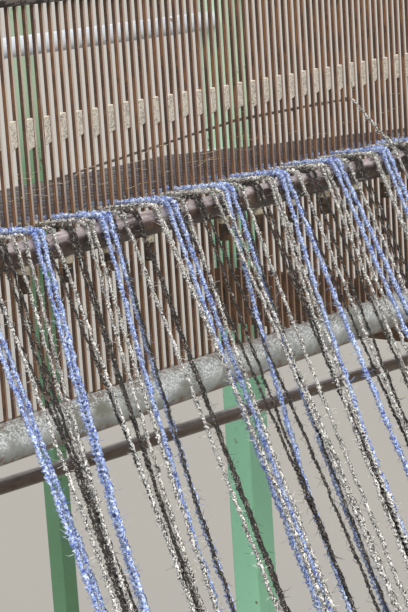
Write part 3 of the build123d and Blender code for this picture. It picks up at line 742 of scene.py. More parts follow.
@dataclass
class Bench:
    """Makes and dresses the object's pieces, with one material for each finish."""

    weld: float = 0.002 * MM
    sharp: float = math.radians(35)
    bevel_steps: int = 2
    finished: dict[str, bpy.types.Material] = field(default_factory=dict)

    def finish_of(self, finish: Finish, name: str) -> bpy.types.Material:
        """The material of a finish, made once.

        Args:
            finish: the finish.
            name: the material's name.

        Returns:
            The material.
        """
        if name not in self.finished:
            self.finished[name] = finish.make(name)
        return self.finished[name]

    def link(self, name: str, mesh: bpy.types.Mesh, finish: Finish, finish_name: str) -> bpy.types.Object:
        """Makes an object of a mesh.

        Args:
            name: the piece's name.
            mesh: its mesh, in place.
            finish: its finish.
            finish_name: the name of its material.

        Returns:
            The object.
        """
        mesh.materials.clear()
        mesh.materials.append(self.finish_of(finish, finish_name))
        piece = bpy.data.objects.new(name, mesh)
        bpy.context.scene.collection.objects.link(piece)
        log.info("made %s with %d faces", name, len(mesh.polygons))
        return piece

    def dress(self, finish: Finish, finish_name: str, *nodes: str, bevel: float = 0.0) -> None:
        """Gives CAD nodes a finish and soft edges.

        Args:
            finish: their finish.
            finish_name: the name of its material.
            *nodes: names of CAD nodes.
            bevel: the width of the soft edge in metres, or 0.
        """
        for node in nodes:
            piece = frame["nodes"][node]
            piece.data.materials.clear()
            piece.data.materials.append(self.finish_of(finish, finish_name))
            if bevel:
                weld = piece.modifiers.new("closed skin", "WELD")
                weld.merge_threshold = self.weld
                edge = piece.modifiers.new("soft edge", "BEVEL")
                edge.width = bevel
                edge.segments = self.bevel_steps
                edge.limit_method = "ANGLE"
                edge.angle_limit = self.sharp
                edge.harden_normals = True
            log.info("dressed %s", node)


class Fittings:
    """Small calls on meshes that several sub-assemblies share."""

    @staticmethod
    def bake(bm: bmesh.types.BMesh, name: str) -> bpy.types.Mesh:
        """Turns a bmesh into a mesh as it is.

        Args:
            bm: the bmesh, which is freed.
            name: the mesh's name.

        Returns:
            The mesh.
        """
        mesh = bpy.data.meshes.new(name)
        bm.to_mesh(mesh)
        bm.free()
        return mesh

    @staticmethod
    def finish(bm: bmesh.types.BMesh, name: str, smooth: bool = False) -> bpy.types.Mesh:
        """Turns a bmesh of one shell into a mesh with its faces outward.

        Args:
            bm: the bmesh, which is freed.
            name: the mesh's name.
            smooth: whether its faces are shaded smooth.

        Returns:
            The mesh.
        """
        bmesh.ops.recalc_face_normals(bm, faces=bm.faces)
        if bm.calc_volume(signed=True) < 0.0:
            bmesh.ops.reverse_faces(bm, faces=bm.faces)
        for face in bm.faces:
            face.smooth = smooth
        return Fittings.bake(bm, name)

    @staticmethod
    def repeated(counts: dict[bpy.types.Mesh, int], name: str, rounds: int = 1) -> bpy.types.Mesh:
        """One mesh of several copies of its templates, in their first place.

        Args:
            counts: the meshes to repeat, with how many of each to a round.
            name: the new mesh's name.
            rounds: how many rounds.

        Returns:
            The mesh, whose points come copy by copy.
        """
        bm = bmesh.new()
        for _ in range(rounds):
            for template, count in counts.items():
                for _ in range(count):
                    bm.from_mesh(template)
        return Fittings.bake(bm, name)

    @staticmethod
    def twisted(plies: int, sides: int, radius: float, offset: float, turns: float, steps: int) -> bpy.types.Mesh:
        """A bundle of plies twisted round the Z axis, one unit long in all.

        Args:
            plies: how many plies.
            sides: sides of one ply.
            radius: radius of a ply.
            offset: distance from the axis to a ply's middle.
            turns: whole turns of twist.
            steps: rings along the length.

        Returns:
            The mesh, from z = 0 to z = 1, its points ply by ply and ring by ring.
        """
        bundle = bmesh.new()
        for ply in range(plies):
            bm = bmesh.new()
            around = Matrix.Rotation(math.tau * ply / plies, 4, "Z")
            place = around @ Matrix.Translation((offset, 0, 0))
            ring = bmesh.ops.create_circle(bm, cap_ends=False, segments=sides, radius=radius, matrix=place)["verts"]
            edges = list(dict.fromkeys(edge for vert in ring for edge in vert.link_edges))
            bmesh.ops.edgeloop_fill(bm, edges=edges)
            last = bmesh.ops.spin(
                bm,
                geom=edges,
                cent=(0, 0, 0),
                axis=(0, 0, 1),
                dvec=(0, 0, 1.0 / steps),
                angle=math.tau * turns,
                steps=steps,
                use_merge=False,
            )["geom_last"]
            bmesh.ops.edgeloop_fill(bm, edges=[e for e in last if isinstance(e, bmesh.types.BMEdge)])
            shell = Fittings.finish(bm, "ply", smooth=True)
            bundle.from_mesh(shell)
            bpy.data.meshes.remove(shell)
        return Fittings.bake(bundle, "template")

    @staticmethod
    def points(mesh: bpy.types.Mesh) -> np.ndarray:
        """The points of a mesh.

        Args:
            mesh: the mesh.

        Returns:
            One row for each point.
        """
        flat = np.empty(len(mesh.vertices) * 3, np.float64)
        mesh.vertices.foreach_get("co", flat)
        return flat.reshape(-1, 3)

    @staticmethod
    def put(mesh: bpy.types.Mesh, points: np.ndarray) -> None:
        """Puts the points of a mesh along a Way, whose left-handed axes turn every face over.

        Args:
            mesh: the mesh, whose faces are turned back outward.
            points: one row for each point.
        """
        mesh.vertices.foreach_set("co", points.astype(np.float32).ravel())
        mesh.flip_normals()
        mesh.update()


class Way:
    """A smooth line through points, read by its length."""

    smooth_over: int = 7

    def __init__(self, corners: list[Vector], step: float = 1.0 * MM) -> None:
        """Divides the line evenly.

        Args:
            corners: its points.
            step: the distance between two places on it.
        """
        raw = np.array([tuple(c) for c in corners])
        gaps = np.linalg.norm(np.diff(raw, axis=0), axis=1)
        along = np.concatenate([[0.0], np.cumsum(gaps)])
        self.length = float(along[-1])
        self.s = np.arange(0.0, self.length, step)
        self.co = np.stack([np.interp(self.s, along, raw[:, i]) for i in range(3)], axis=1)
        kernel = np.hanning(self.smooth_over)[1:-1]
        kernel /= kernel.sum()
        for i in range(3):
            padded = np.pad(self.co[:, i], len(kernel) // 2, mode="reflect", reflect_type="odd")
            self.co[:, i] = np.convolve(padded, kernel, mode="valid")
        tangent = np.gradient(self.co, axis=0)
        self.tangent = tangent / np.linalg.norm(tangent, axis=1)[:, None]
        side = np.array([1.0, 0.0, 0.0]) - self.tangent * self.tangent[:, :1]
        self.side = side / np.linalg.norm(side, axis=1)[:, None]
        self.up = np.cross(self.side, self.tangent)

    def at(self, s: np.ndarray, across: np.ndarray, above: np.ndarray) -> np.ndarray:
        """Places beside the line.

        Args:
            s: lengths along it.
            across: distances to its right.
            above: distances over it.

        Returns:
            One point for each.
        """

        def read(field: np.ndarray) -> np.ndarray:
            """One vector field of the line at s."""
            return np.stack([np.interp(s, self.s, field[:, i]) for i in range(3)], axis=1)

        return read(self.co) + read(self.side) * across[:, None] + read(self.up) * above[:, None]

    def length_at_y(self, y: float) -> float:
        """The length at which the line, which runs towards -Y, comes to y.

        Args:
            y: the place.

        Returns:
            The length.
        """
        return float(np.interp(-y, -self.co[:, 1], self.s))


@dataclass
class YarnSheet:
    """The warp ends from the clamp to the drum, each a twisted strand with loose fibres."""

    bench: Bench
    ends: int = ENDS
    repeat_offset: int = -14
    dent_pitch: float = DENT_PITCH
    first_dent: int = -38
    lean: float = -8.5 * MM
    ends_per_dent: int = 4
    dent_width: float = 9.2 * MM
    end_pitch: float = 2.2 * MM
    lift: float = 1.0 * MM
    fall: float = math.radians(20.0)
    ply_radius: float = 0.42 * MM
    ply_offset: float = 0.31 * MM
    twist: float = 5.2 * MM
    steps_per_turn: int = 4
    plain_rings: int = 42
    pulls: tuple[tuple[int, float], ...] = (
        (0, 13.0), (1, 13.0), (2, 9.0), (3, 0.0), (4, 3.0), (5, 3.0), (6, -3.0), (7, -7.0), (9, -3.0), (10, 7.0),
        (11, -5.0), (12, -6.0), (13, -6.0), (14, -11.0), (15, -12.0), (16, -4.5), (17, -1.0), (18, -13.0), (19, -6.0),
        (24, 6.0), (25, 6.0), (27, -10.0), (32, -10.0), (34, -15.0), (35, -7.0), (38, -9.0), (39, -14.0),
        (40, -10.0), (56, -5.0), (57, -4.0),
    )
    tail: float = 3 * MM
    clamp_run: float = 6 * MM
    clamp_sink: float = 0.7 * MM
    arc_steps: int = 6
    run_in_y: float = 0.644
    rail_half: float = 4 * MM
    rail_sink: float = 0.5 * MM
    bar_scatter: float = 0.35
    left_from: float = 33 * MM
    left_over: float = 60 * MM
    sag_spread: float = 2.0 * MM
    sag_places: tuple[float, ...] = (0.18, 0.36, 0.54, 0.72, 0.88)
    heap: float = 0.42
    heap_length: float = 13 * MM
    heap_behind: float = 3 * MM
    swell_wave: tuple[float, float] = (0.16, 17 * MM)
    across_wave: tuple[float, float] = (0.22 * MM, 24 * MM)
    above_wave: tuple[float, float] = (0.14 * MM, 31 * MM)
    roughness: float = 0.42
    plain_rough: float = 0.35
    overlap: float = 2 * MM
    fine_from_y: float = 0.672
    fine_length: float = 0.430
    fibre_spacing: float = 1.35 * MM
    fibre_length: tuple[float, float] = (1.0 * MM, 2.9 * MM)
    fibre_radius: float = 0.085 * MM
    round_radius: float = 0.9 * MM
    strand_gap: float = 0.031
    fibre_lean: float = 0.9
    fibre_curl: float = 1.5
    crest_share: int = 7
    crest_behind: float = 4 * MM
    crest_spread: float = 11 * MM
    shear_from_y: float = 0.608
    raised_end: int = 59
    raised_from_y: float = 0.700
    raised_by: float = 9 * MM
    raised_dent: tuple[float, float, float] = (0.0928, 0.640, 1.3206)
    raised_climb: float = math.radians(36)
    bunching: tuple[float, ...] = (0.38, 0.10, 0.06, -0.10, -0.42, -0.58, 0.18, -0.30)

    def __post_init__(self) -> None:
        """Reads the places that the ends touch from the frame."""
        self.random = np.random.default_rng(7)
        strip_low, strip_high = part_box("clamp_strip")
        comb_low, comb_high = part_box("section_reed_wires")
        self.clamp_from_y = strip_high.y + self.tail
        self.clamp_to_y = strip_low.y - self.clamp_run
        self.clamp_z = strip_low.z - self.clamp_sink
        self.comb_x = (comb_low.x + comb_high.x) / 2
        self.comb_y = (comb_low.y + comb_high.y) / 2
        self.bar, self.bar_radius = self.middle("guide_bar")
        self.rail, self.rail_radius = self.middle("lower_back_rail")
        self.roller, self.roller_radius = self.middle("guide_roller")
        self.drum, self.band_radius = self.middle("warp_band")

    @staticmethod
    def middle(node: str) -> tuple[Vector, float]:
        """The middle and radius of a round bar or band that lies along X.

        Args:
            node: its CAD node.

        Returns:
            The middle, and the radius.
        """
        low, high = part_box(node)
        return (low + high) / 2, (high.z - low.z) / 2

    def shade_of(self, index: int) -> Shade:
        """The colour of an end.

        Args:
            index: the end, from the left.

        Returns:
            Its shade.
        """
        return STRIPE_ORDER[(index + self.repeat_offset) % len(STRIPE_ORDER)]

    def arc(self, centre: Vector, radius: float, turns: tuple[float, float], x: float, over: bool) -> list[Vector]:
        """Points round a bar.

        Args:
            centre: the bar's middle.
            radius: the arc's radius.
            turns: the falls of the line before and after it.
            x: its place along the bar.
            over: whether it passes over the bar, or else under.

        Returns:
            The points.
        """
        way = 1.0 if over else -1.0
        made = []
        for step in range(self.arc_steps + 1):
            angle = turns[0] + (turns[1] - turns[0]) * step / self.arc_steps
            y = centre.y - way * radius * math.sin(angle)
            made.append(Vector((x, y, centre.z + way * radius * math.cos(angle))))
        return made

    def route(self, index: int) -> list[Vector]:
        """The corners of an end's route, with arcs over the bar and under the roller.

        Args:
            index: the end.

        Returns:
            Points from the clamp to the drum.
        """
        shift = np.clip(self.random.normal(0.0, 1.0, 3), -1.7, 1.7)
        shade = self.shade_of(index)
        hang = HANG[shade]
        dent_x = (self.first_dent + index) * self.dent_pitch
        bunch = self.bunching[(index + self.repeat_offset) % len(self.bunching)]
        bar_x = dent_x + self.lean + bunch * self.dent_pitch + shift[0] * hang.scatter * self.bar_scatter
        dent, place = divmod(index, self.ends_per_dent)
        dents = self.ends / self.ends_per_dent
        comb_x = self.comb_x + (dent + 0.5 - dents / 2) * self.dent_width
        comb_x += (place - (self.ends_per_dent - 1) / 2) * self.end_pitch
        over = self.bar_radius + self.lift + hang.ride
        rail_top = self.rail.z + self.rail_radius + self.lift
        climb = -math.atan2(self.bar.z + over - rail_top, self.rail.y - self.bar.y)
        points = [
            Vector((dent_x, self.clamp_from_y, self.clamp_z)),
            Vector((dent_x, self.clamp_to_y, self.clamp_z)),
            Vector((dent_x, self.rail.y + self.rail_half, rail_top - self.rail_sink)),
            Vector((dent_x, self.rail.y - self.rail_half, rail_top)),
            Vector((dent_x, self.run_in_y, self.bar.z + over + math.tan(climb) * (self.run_in_y - self.bar.y))),
        ]
        if index == self.raised_end:
            points[-1] = Vector((dent_x, self.raised_from_y, self.bar.z + over + self.raised_by))
            points.append(Vector(self.raised_dent))
            climb = self.raised_climb
        points += self.arc(self.bar, over, (climb, self.fall), bar_x, True)
        leave = points[-1]
        slope = math.tan(self.fall)
        run = leave.y - self.comb_y
        leftward = min(1.0, max(0.0, (self.left_from - dent_x) / self.left_over))
        drift = hang.sideways * leftward + shift[1] * hang.scatter
        drift += dict(self.pulls).get(index, 0.0) * MM
        slack = hang.slack * leftward + abs(shift[2]) * self.sag_spread
        for part in self.sag_places:
            swell = math.sin(math.pi * part)
            x = bar_x + (comb_x - bar_x) * part + drift * swell
            points.append(Vector((x, leave.y - run * part, leave.z - run * part * slope - slack * swell)))
        points.append(Vector((comb_x, self.comb_y, leave.z - run * slope)))
        under = self.roller_radius + self.lift
        reach = Vector((0.0, self.roller.y - self.drum.y, self.roller.z - self.drum.z))
        ride = self.band_radius + self.lift * 0.4
        run_out = math.atan2(reach.z, reach.y) - math.asin((ride + under) / reach.length)
        points += self.arc(self.roller, under, (self.fall, run_out), comb_x, False)
        points.append(Vector((comb_x, self.drum.y - ride * math.sin(run_out), self.drum.z + ride * math.cos(run_out))))
        return points

    def waviness(self, s: np.ndarray, wave: tuple[float, float], share: float) -> np.ndarray:
        """A smooth random wander along a strand.

        Args:
            s: lengths along it.
            wave: the wander's full size and its usual wavelength.
            share: the share of that size.

        Returns:
            The wander at each length.
        """
        total = np.zeros_like(s)
        parts = (1.0, 0.53, 0.29)
        for part in parts:
            phase = self.random.uniform(0, math.tau)
            total += part * np.sin(math.tau * s / (wave[1] * part) + phase)
        return total * wave[0] * share / 1.8

    def lay(self, way: Way, points: np.ndarray, span: tuple[float, float], girth: float, rough: float) -> np.ndarray:
        """Lays a straight template along a strand's way.

        Args:
            way: the strand's line.
            points: the template's points, with z from 0 to 1.
            span: the lengths at its two ends.
            girth: the strand's thickness against the template's.
            rough: how uneven its outline is.

        Returns:
            The laid points.
        """
        s = span[0] + points[:, 2] * (span[1] - span[0])
        crest = (s - way.length_at_y(self.bar.y + self.heap_behind)) / self.heap_length
        swell = girth * (1.0 + self.heap * np.exp(-crest * crest) + self.waviness(s, self.swell_wave, rough))
        swell = swell * (1.0 + rough * self.random.uniform(-self.roughness, self.roughness, len(s)))
        across = points[:, 0] * swell + self.waviness(s, self.across_wave, rough)
        above = points[:, 1] * swell + self.waviness(s, self.above_wave, rough)
        return way.at(s, across, above)

    def mark(self, mesh: bpy.types.Mesh, places: np.ndarray, ply: np.ndarray) -> None:
        """Writes the places along and round the strands for the material.

        Args:
            mesh: the piece's mesh.
            places: along, around and strand number, one row for each point.
            ply: which ply, one number for each point.
        """
        strand = mesh.attributes.new("strand", "FLOAT_VECTOR", "POINT")
        strand.data.foreach_set("vector", places.astype(np.float32).ravel())
        mesh.attributes.new("ply", "FLOAT", "POINT").data.foreach_set("value", ply.astype(np.float32))

    def register(self, mesh: bpy.types.Mesh, name: str, shade: Shade, node: str) -> None:
        """Makes a yarn piece of its mesh, hides the CAD node that it stands for, and bakes its place into its points.

        Args:
            mesh: its mesh.
            name: its name.
            shade: its colour.
            node: the CAD node that it stands for.
        """
        piece = self.bench.link(name, mesh, YARNS[shade], f"{shade.value}_yarn_finish")
        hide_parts(node)
        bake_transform(piece)

    def build(self) -> None:
        """Builds the strands and the loose fibres of each colour."""
        ways = [Way(self.route(index)) for index in range(self.ends)]
        turns = round(self.fine_length / self.twist)
        fine = Fittings.twisted(2, 4, self.ply_radius, self.ply_offset, turns, turns * self.steps_per_turn)
        fine_points = Fittings.points(fine)
        half = len(fine_points) // 2
        plain = Fittings.twisted(1, 5, self.ply_radius + self.ply_offset * 0.8, 0.0, 0, self.plain_rings)
        plain_points = Fittings.points(plain)
        nodes = {Shade.BLUE: "blue_ends", Shade.LIGHT: "light_marl_ends", Shade.DARK: "dark_marl_ends"}
        for shade, node in nodes.items():
            chosen = [i for i in range(self.ends) if self.shade_of(i) is shade]
            girth = HANG[shade].girth
            laid, places, plies = [], [], []
            for index in chosen:
                way = ways[index]
                a = way.length_at_y(self.fine_from_y)
                b = a + self.fine_length
                laid.append(self.lay(way, fine_points, (a, b), girth, 1.0))
                places.append(self.places_of(fine_points, (a, b), index))
                plies.append((np.arange(len(fine_points)) >= half).astype(float))
                for span in ((0.0, a + self.overlap), (b - self.overlap, way.length)):
                    laid.append(self.lay(way, plain_points, span, girth, self.plain_rough))
                    places.append(self.places_of(plain_points, span, index))
                    plies.append(np.full(len(plain_points), 0.5))
            mesh = Fittings.repeated({fine: 1, plain: 2}, f"{node}_twisted", len(chosen))
            Fittings.put(mesh, np.concatenate(laid))
            self.mark(mesh, np.concatenate(places), np.concatenate(plies))
            self.register(mesh, f"{node}_twisted", shade, node)
            self.build_fibres([ways[i] for i in chosen], chosen, shade, node, girth)
        for template in (fine, plain):
            bpy.data.meshes.remove(template)

    def places_of(self, points: np.ndarray, span: tuple[float, float], index: int) -> np.ndarray:
        """Where each template point lies on its strand, for the material.

        Args:
            points: the template's points.
            span: the lengths at its two ends.
            index: the end's number.

        Returns:
            Along, around and number, in metres.
        """
        s = span[0] + points[:, 2] * (span[1] - span[0])
        around = np.arctan2(points[:, 1], points[:, 0]) * self.round_radius
        return np.stack([s, around, np.full_like(s, index * self.strand_gap)], axis=1)

    def build_fibres(self, ways: list[Way], chosen: list[int], shade: Shade, node: str, girth: float) -> None:
        """Builds the loose fibres that stand off the strands.

        Args:
            ways: the strands' lines.
            chosen: their numbers.
            shade: their colour.
            node: the CAD node that they belong to.
            girth: the strands' thickness against the template's.
        """
        bm = bmesh.new()
        place = Matrix.Translation((0, 0, 0.5))
        bmesh.ops.create_cone(bm, cap_ends=True, segments=3, radius1=1.0, radius2=0.35, depth=1.0, matrix=place)
        geometry = bm.verts[:] + bm.edges[:] + bm.faces[:]
        bmesh.ops.bisect_plane(bm, geom=geometry, plane_co=(0, 0, 0.5), plane_no=(0, 0, 1))
        fibre = Fittings.finish(bm, "fibre", smooth=True)
        shape = Fittings.points(fibre)
        rows = int(self.fine_length / self.fibre_spacing)
        on_crest = rows // self.crest_share
        mesh = Fittings.repeated({fibre: rows * len(ways)}, f"{node}_fibres")
        laid = np.empty((rows * len(ways), len(shape), 3))
        places = np.empty_like(laid)
        for number, (way, index) in enumerate(zip(ways, chosen)):
            first = way.length_at_y(self.fine_from_y)
            s = first + self.random.uniform(0, self.fine_length, rows)
            crest = way.length_at_y(self.bar.y + self.crest_behind)
            s[:on_crest] = crest + self.random.normal(0.0, self.crest_spread, on_crest)
            spin = self.random.uniform(0, math.tau, rows)
            lean = self.random.normal(0.0, self.fibre_lean, rows)
            curl = self.random.normal(0.0, self.fibre_curl, rows)
            long = self.random.uniform(*self.fibre_length, rows)
            z = shape[:, 2][None, :] * long[:, None]
            bend = curl[:, None] * shape[:, 2][None, :]
            out = z * np.cos(lean[:, None] + bend * 0.5)
            on = z * np.sin(lean[:, None] + bend * 0.5)
            root = (self.ply_offset + self.ply_radius * 0.45) * girth
            width = self.fibre_radius
            radial = root + out
            across = radial * np.cos(spin)[:, None] - shape[:, 0][None, :] * width * np.sin(spin)[:, None]
            above = radial * np.sin(spin)[:, None] + shape[:, 0][None, :] * width * np.cos(spin)[:, None]
            along = s[:, None] + on + shape[:, 1][None, :] * width
            flat = way.at(along.ravel(), across.ravel(), above.ravel())
            block = slice(number * rows, (number + 1) * rows)
            laid[block] = flat.reshape(rows, len(shape), 3)
            tone = self.random.uniform(0, 1, rows)[:, None] * np.ones(len(shape))
            places[block] = np.stack([s[:, None] + z * 0.25, tone, np.full_like(z, index * self.strand_gap)], axis=2)
        Fittings.put(mesh, laid.reshape(-1, 3))
        ply = np.repeat(self.random.uniform(0.2, 1.0, rows * len(ways)), len(shape))
        self.mark(mesh, places.reshape(-1, 3), ply)
        self.register(mesh, f"{node}_fibres", shade, node)
        bpy.data.meshes.remove(fibre)


@dataclass
class ReedHead:
    """The leasing reed with its cast fillings, tubes, cheeks, guide bar and rails."""

    bench: Bench
    dent_pitch: float = DENT_PITCH
    fillings: int = 51
    proud: float = 0.25 * MM
    tall: tuple[float, float] = (0.94, 1.03)
    raised: tuple[float, float] = (-0.3, 0.2)
    slant: float = 2.0 * MM
    slant_share: tuple[float, float] = (0.35, 0.8)
    tilt: float = 0.42
    tilt_share: tuple[float, float] = (0.6, 1.3)
    soft: float = 0.28 * MM
    wisps: int = 46
    wisp_rings: int = 14
    wisp_radius: float = 0.075 * MM
    wisp_length: tuple[float, float] = (5, 19)
    wisp_margins: tuple[float, float] = (4 * MM, 24 * MM)
    wisp_z: tuple[float, float] = (1.313, 0.0042)
    wisp_slope: float = 1.1
    wisp_bow: float = 0.25 * MM
    peg_shoulder: float = 1.2887

    def build(self) -> None:
        """Builds the fillings and dresses the reed, its frame and its rails."""
        bench = self.bench
        self.build_fillings()
        self.build_wisps()
        bench.dress(ReedWire(), "rusty_wire_finish", "reed_wires", bevel=0.08 * MM)
        bench.dress(ZincTube(), "galvanised_finish", "bottom_baulk", "reed_end_bars")
        # top baulk: the near-black colour in the rust slot paints shade along its underside, over the same painted
        # highlight and underside shade as the galvanised tube
        shaded_top_baulk = ZincTube(
            (0.60, 0.56, 0.50), (0.78, 0.74, 0.68), (0.40, 0.37, 0.33), (0.014, 0.012, 0.011), (0.74, 0.82)
        )
        bench.dress(shaded_top_baulk, "baulk_painted_shade_finish", "top_baulk")
        bench.dress(RubbedBarPaintedHighlight(), "rubbed_bar_painted_highlight_finish", "guide_bar")
        # the lower rod carries the same painted highlight on its top
        rod = RubbedBarPaintedHighlight(dark=(0.155, 0.120, 0.092), sheen=(0.40, 0.36, 0.355))
        bench.dress(rod, "lower_rod_painted_highlight_finish", "lower_rod")
        bench.dress(PegFinish(self.peg_shoulder), "peg_finish", "bar_pegs", bevel=0.2 * MM)
        pale = MachinePaint((0.76, 0.82, 0.88), under=(0.24, 0.19, 0.15), chips=0.66)
        bench.dress(pale, "pale_rail_finish", "upper_back_rail", "lower_back_rail")
        plate = BareSteel((0.26, 0.23, 0.20), (0.17, 0.095, 0.055), 0.60, Along.Z, gloss=0.5, metal=0.6)
        plates = ("reed_cheek_left", "reed_cheek_right", "clamp_strip")
        bench.dress(plate, "rusty_plate_finish", *plates, bevel=0.6 * MM)

    def build_fillings(self) -> None:
        """Builds the cast fillings that close every second gap at the row's height."""
        low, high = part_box("leasing_blocks")
        width = (high.x - low.x) - (self.fillings - 1) * 2 * self.dent_pitch
        size = Vector((width, high.y - low.y + self.proud, high.z - low.z))
        chance = random.Random(31)
        bm = bmesh.new()
        for number in range(self.fillings):
            x = low.x + width / 2 + number * 2 * self.dent_pitch
            tall = size.z * chance.uniform(*self.tall)
            grown = Matrix.Diagonal((size.x, size.y, tall, 1.0))
            lift = chance.uniform(*self.raised) * MM
            place = Matrix.Translation((x, high.y - size.y / 2, high.z - tall / 2 + lift))
            one = bmesh.new()
            bmesh.ops.create_cube(one, size=1.0, matrix=place @ grown)
            cut = high.z - tall + self.slant * chance.uniform(*self.slant_share)
            bmesh.ops.bisect_plane(
                one,
                geom=one.verts[:] + one.edges[:] + one.faces[:],
                plane_co=(x, low.y, cut),
                plane_no=(self.tilt * chance.uniform(*self.tilt_share), 0.1, -1.0),
                clear_outer=True,
            )
            bmesh.ops.holes_fill(one, edges=[e for e in one.edges if e.is_boundary])
            bmesh.ops.bevel(
                one, geom=one.edges[:], offset=self.soft, segments=1, profile=0.5, affect="EDGES", material=-1
            )
            mesh = Fittings.finish(one, "filling")
            bm.from_mesh(mesh)
            bpy.data.meshes.remove(mesh)
        mesh = Fittings.bake(bm, "cast_fillings")
        piece = self.bench.link("cast_fillings", mesh, CastFilling(), "cast_filling_finish")
        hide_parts("leasing_blocks")
        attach(piece, "frame")

    def build_wisps(self) -> None:
        """Builds the fine yarn fibres that have caught across the wires."""
        low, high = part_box("reed_wires")
        chance = np.random.default_rng(5)
        template = Fittings.twisted(1, 4, self.wisp_radius, 0.0, 0, self.wisp_rings)
        shape = Fittings.points(template)
        mesh = Fittings.repeated({template: self.wisps}, "caught_fibres")
        front = low.y - 0.2 * MM
        laid = []
        for _ in range(self.wisps):
            x = chance.uniform(low.x + self.wisp_margins[0], high.x - self.wisp_margins[1])
            long = chance.uniform(*self.wisp_length) * MM
            z = self.wisp_z[0] + chance.normal(0, self.wisp_z[1])
            fall = chance.normal(0, self.wisp_slope) * MM
            way = Way([Vector((x, front, z)), Vector((x + long, front, z + fall))], 0.2 * MM)
            s = shape[:, 2] * way.length
            bow = np.sin(shape[:, 2] * math.pi * chance.uniform(1, 3) + chance.uniform(0, 3))
            out = bow * chance.uniform(0.3, 1.1) * MM
            laid.append(way.at(s, shape[:, 0] + bow * self.wisp_bow, shape[:, 1] + out))
        Fittings.put(mesh, np.concatenate(laid))
        gold = MarlYarn((0.50, 0.37, 0.21), (0.16, 0.10, 0.05), (0.80, 0.68, 0.45), 0.25, 0.35, on_strand=False)
        piece = self.bench.link("caught_fibres", mesh, gold, "caught_fibre_finish")
        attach(piece, "frame")
        bpy.data.meshes.remove(template)


@dataclass
class Stand:
    """The posts, rails and hitch rail that carry the reed."""

    bench: Bench

    def build(self) -> None:
        """Dresses the posts, rails, stretchers, hitch rail and fastenings."""
        bench = self.bench
        mint = MachinePaint((0.385, 0.80, 0.52), (0.16, 0.12, 0.09), 0.71, paler_top_colour=(0.62, 0.72, 0.56))
        # the rear posts, rails and stretchers take a darker copy of the front posts' green: painted shade
        green = MachinePaint((0.155, 0.33, 0.175), (0.10, 0.07, 0.05), 0.69, paler_top_colour=(0.50, 0.62, 0.46))
        bench.dress(mint, "mint_paint_finish", "front_post_left", "front_post_right", bevel=1.6 * MM)
        posts = ("rear_post_left", "rear_post_right", "stand_rails_low", "stand_rails_high", "stand_stretchers")
        bench.dress(green, "dark_green_finish", *posts, bevel=1.2 * MM)
        dark = BareSteel((0.12, 0.115, 0.11), (0.16, 0.085, 0.05), 0.40, gloss=0.42, metal=0.8)
        bench.dress(dark, "dark_fastener_finish", "cheek_bolts", "clamp_screws", "bearing_bolts", bevel=0.5 * MM)
        rail = Timber((0.46, 0.30, 0.17), (0.24, 0.13, 0.065), Along.X)
        bench.dress(rail, "hitch_timber_finish", "hitch_rail", bevel=1.5 * MM)


@dataclass
class Base:
    """The timber base with its cast side frames and rail stands."""

    bench: Bench

    def build(self) -> None:
        """Dresses the beams, ties, sills, side frames and bearings."""
        bench = self.bench
        lengthways = Timber((0.42, 0.27, 0.15), (0.20, 0.11, 0.055), Along.Y, 0.6, 42.0)
        crossways = Timber((0.42, 0.27, 0.15), (0.20, 0.11, 0.055), Along.X, 0.6, 42.0)
        bench.dress(lengthways, "beam_timber_finish", "base_beam_left", "base_beam_right", bevel=3 * MM)
        across = ("cross_tie_front", "cross_tie_middle", "stand_sill_front", "stand_sill_rear")
        bench.dress(crossways, "cross_timber_finish", *across, bevel=2.5 * MM)
        casting = MachinePaint((0.085, 0.215, 0.115), under=(0.085, 0.065, 0.055), chips=0.66, grain=260.0)
        green = "green_casting_finish"
        bench.dress(casting, green, "side_frame_left", "side_frame_right", bevel=2 * MM)
        bench.dress(casting, green, "rail_stand_left", "rail_stand_right", bevel=1.5 * MM)
        bench.dress(casting, green, "shaft_bearing_left", "shaft_bearing_right", bevel=1.5 * MM)


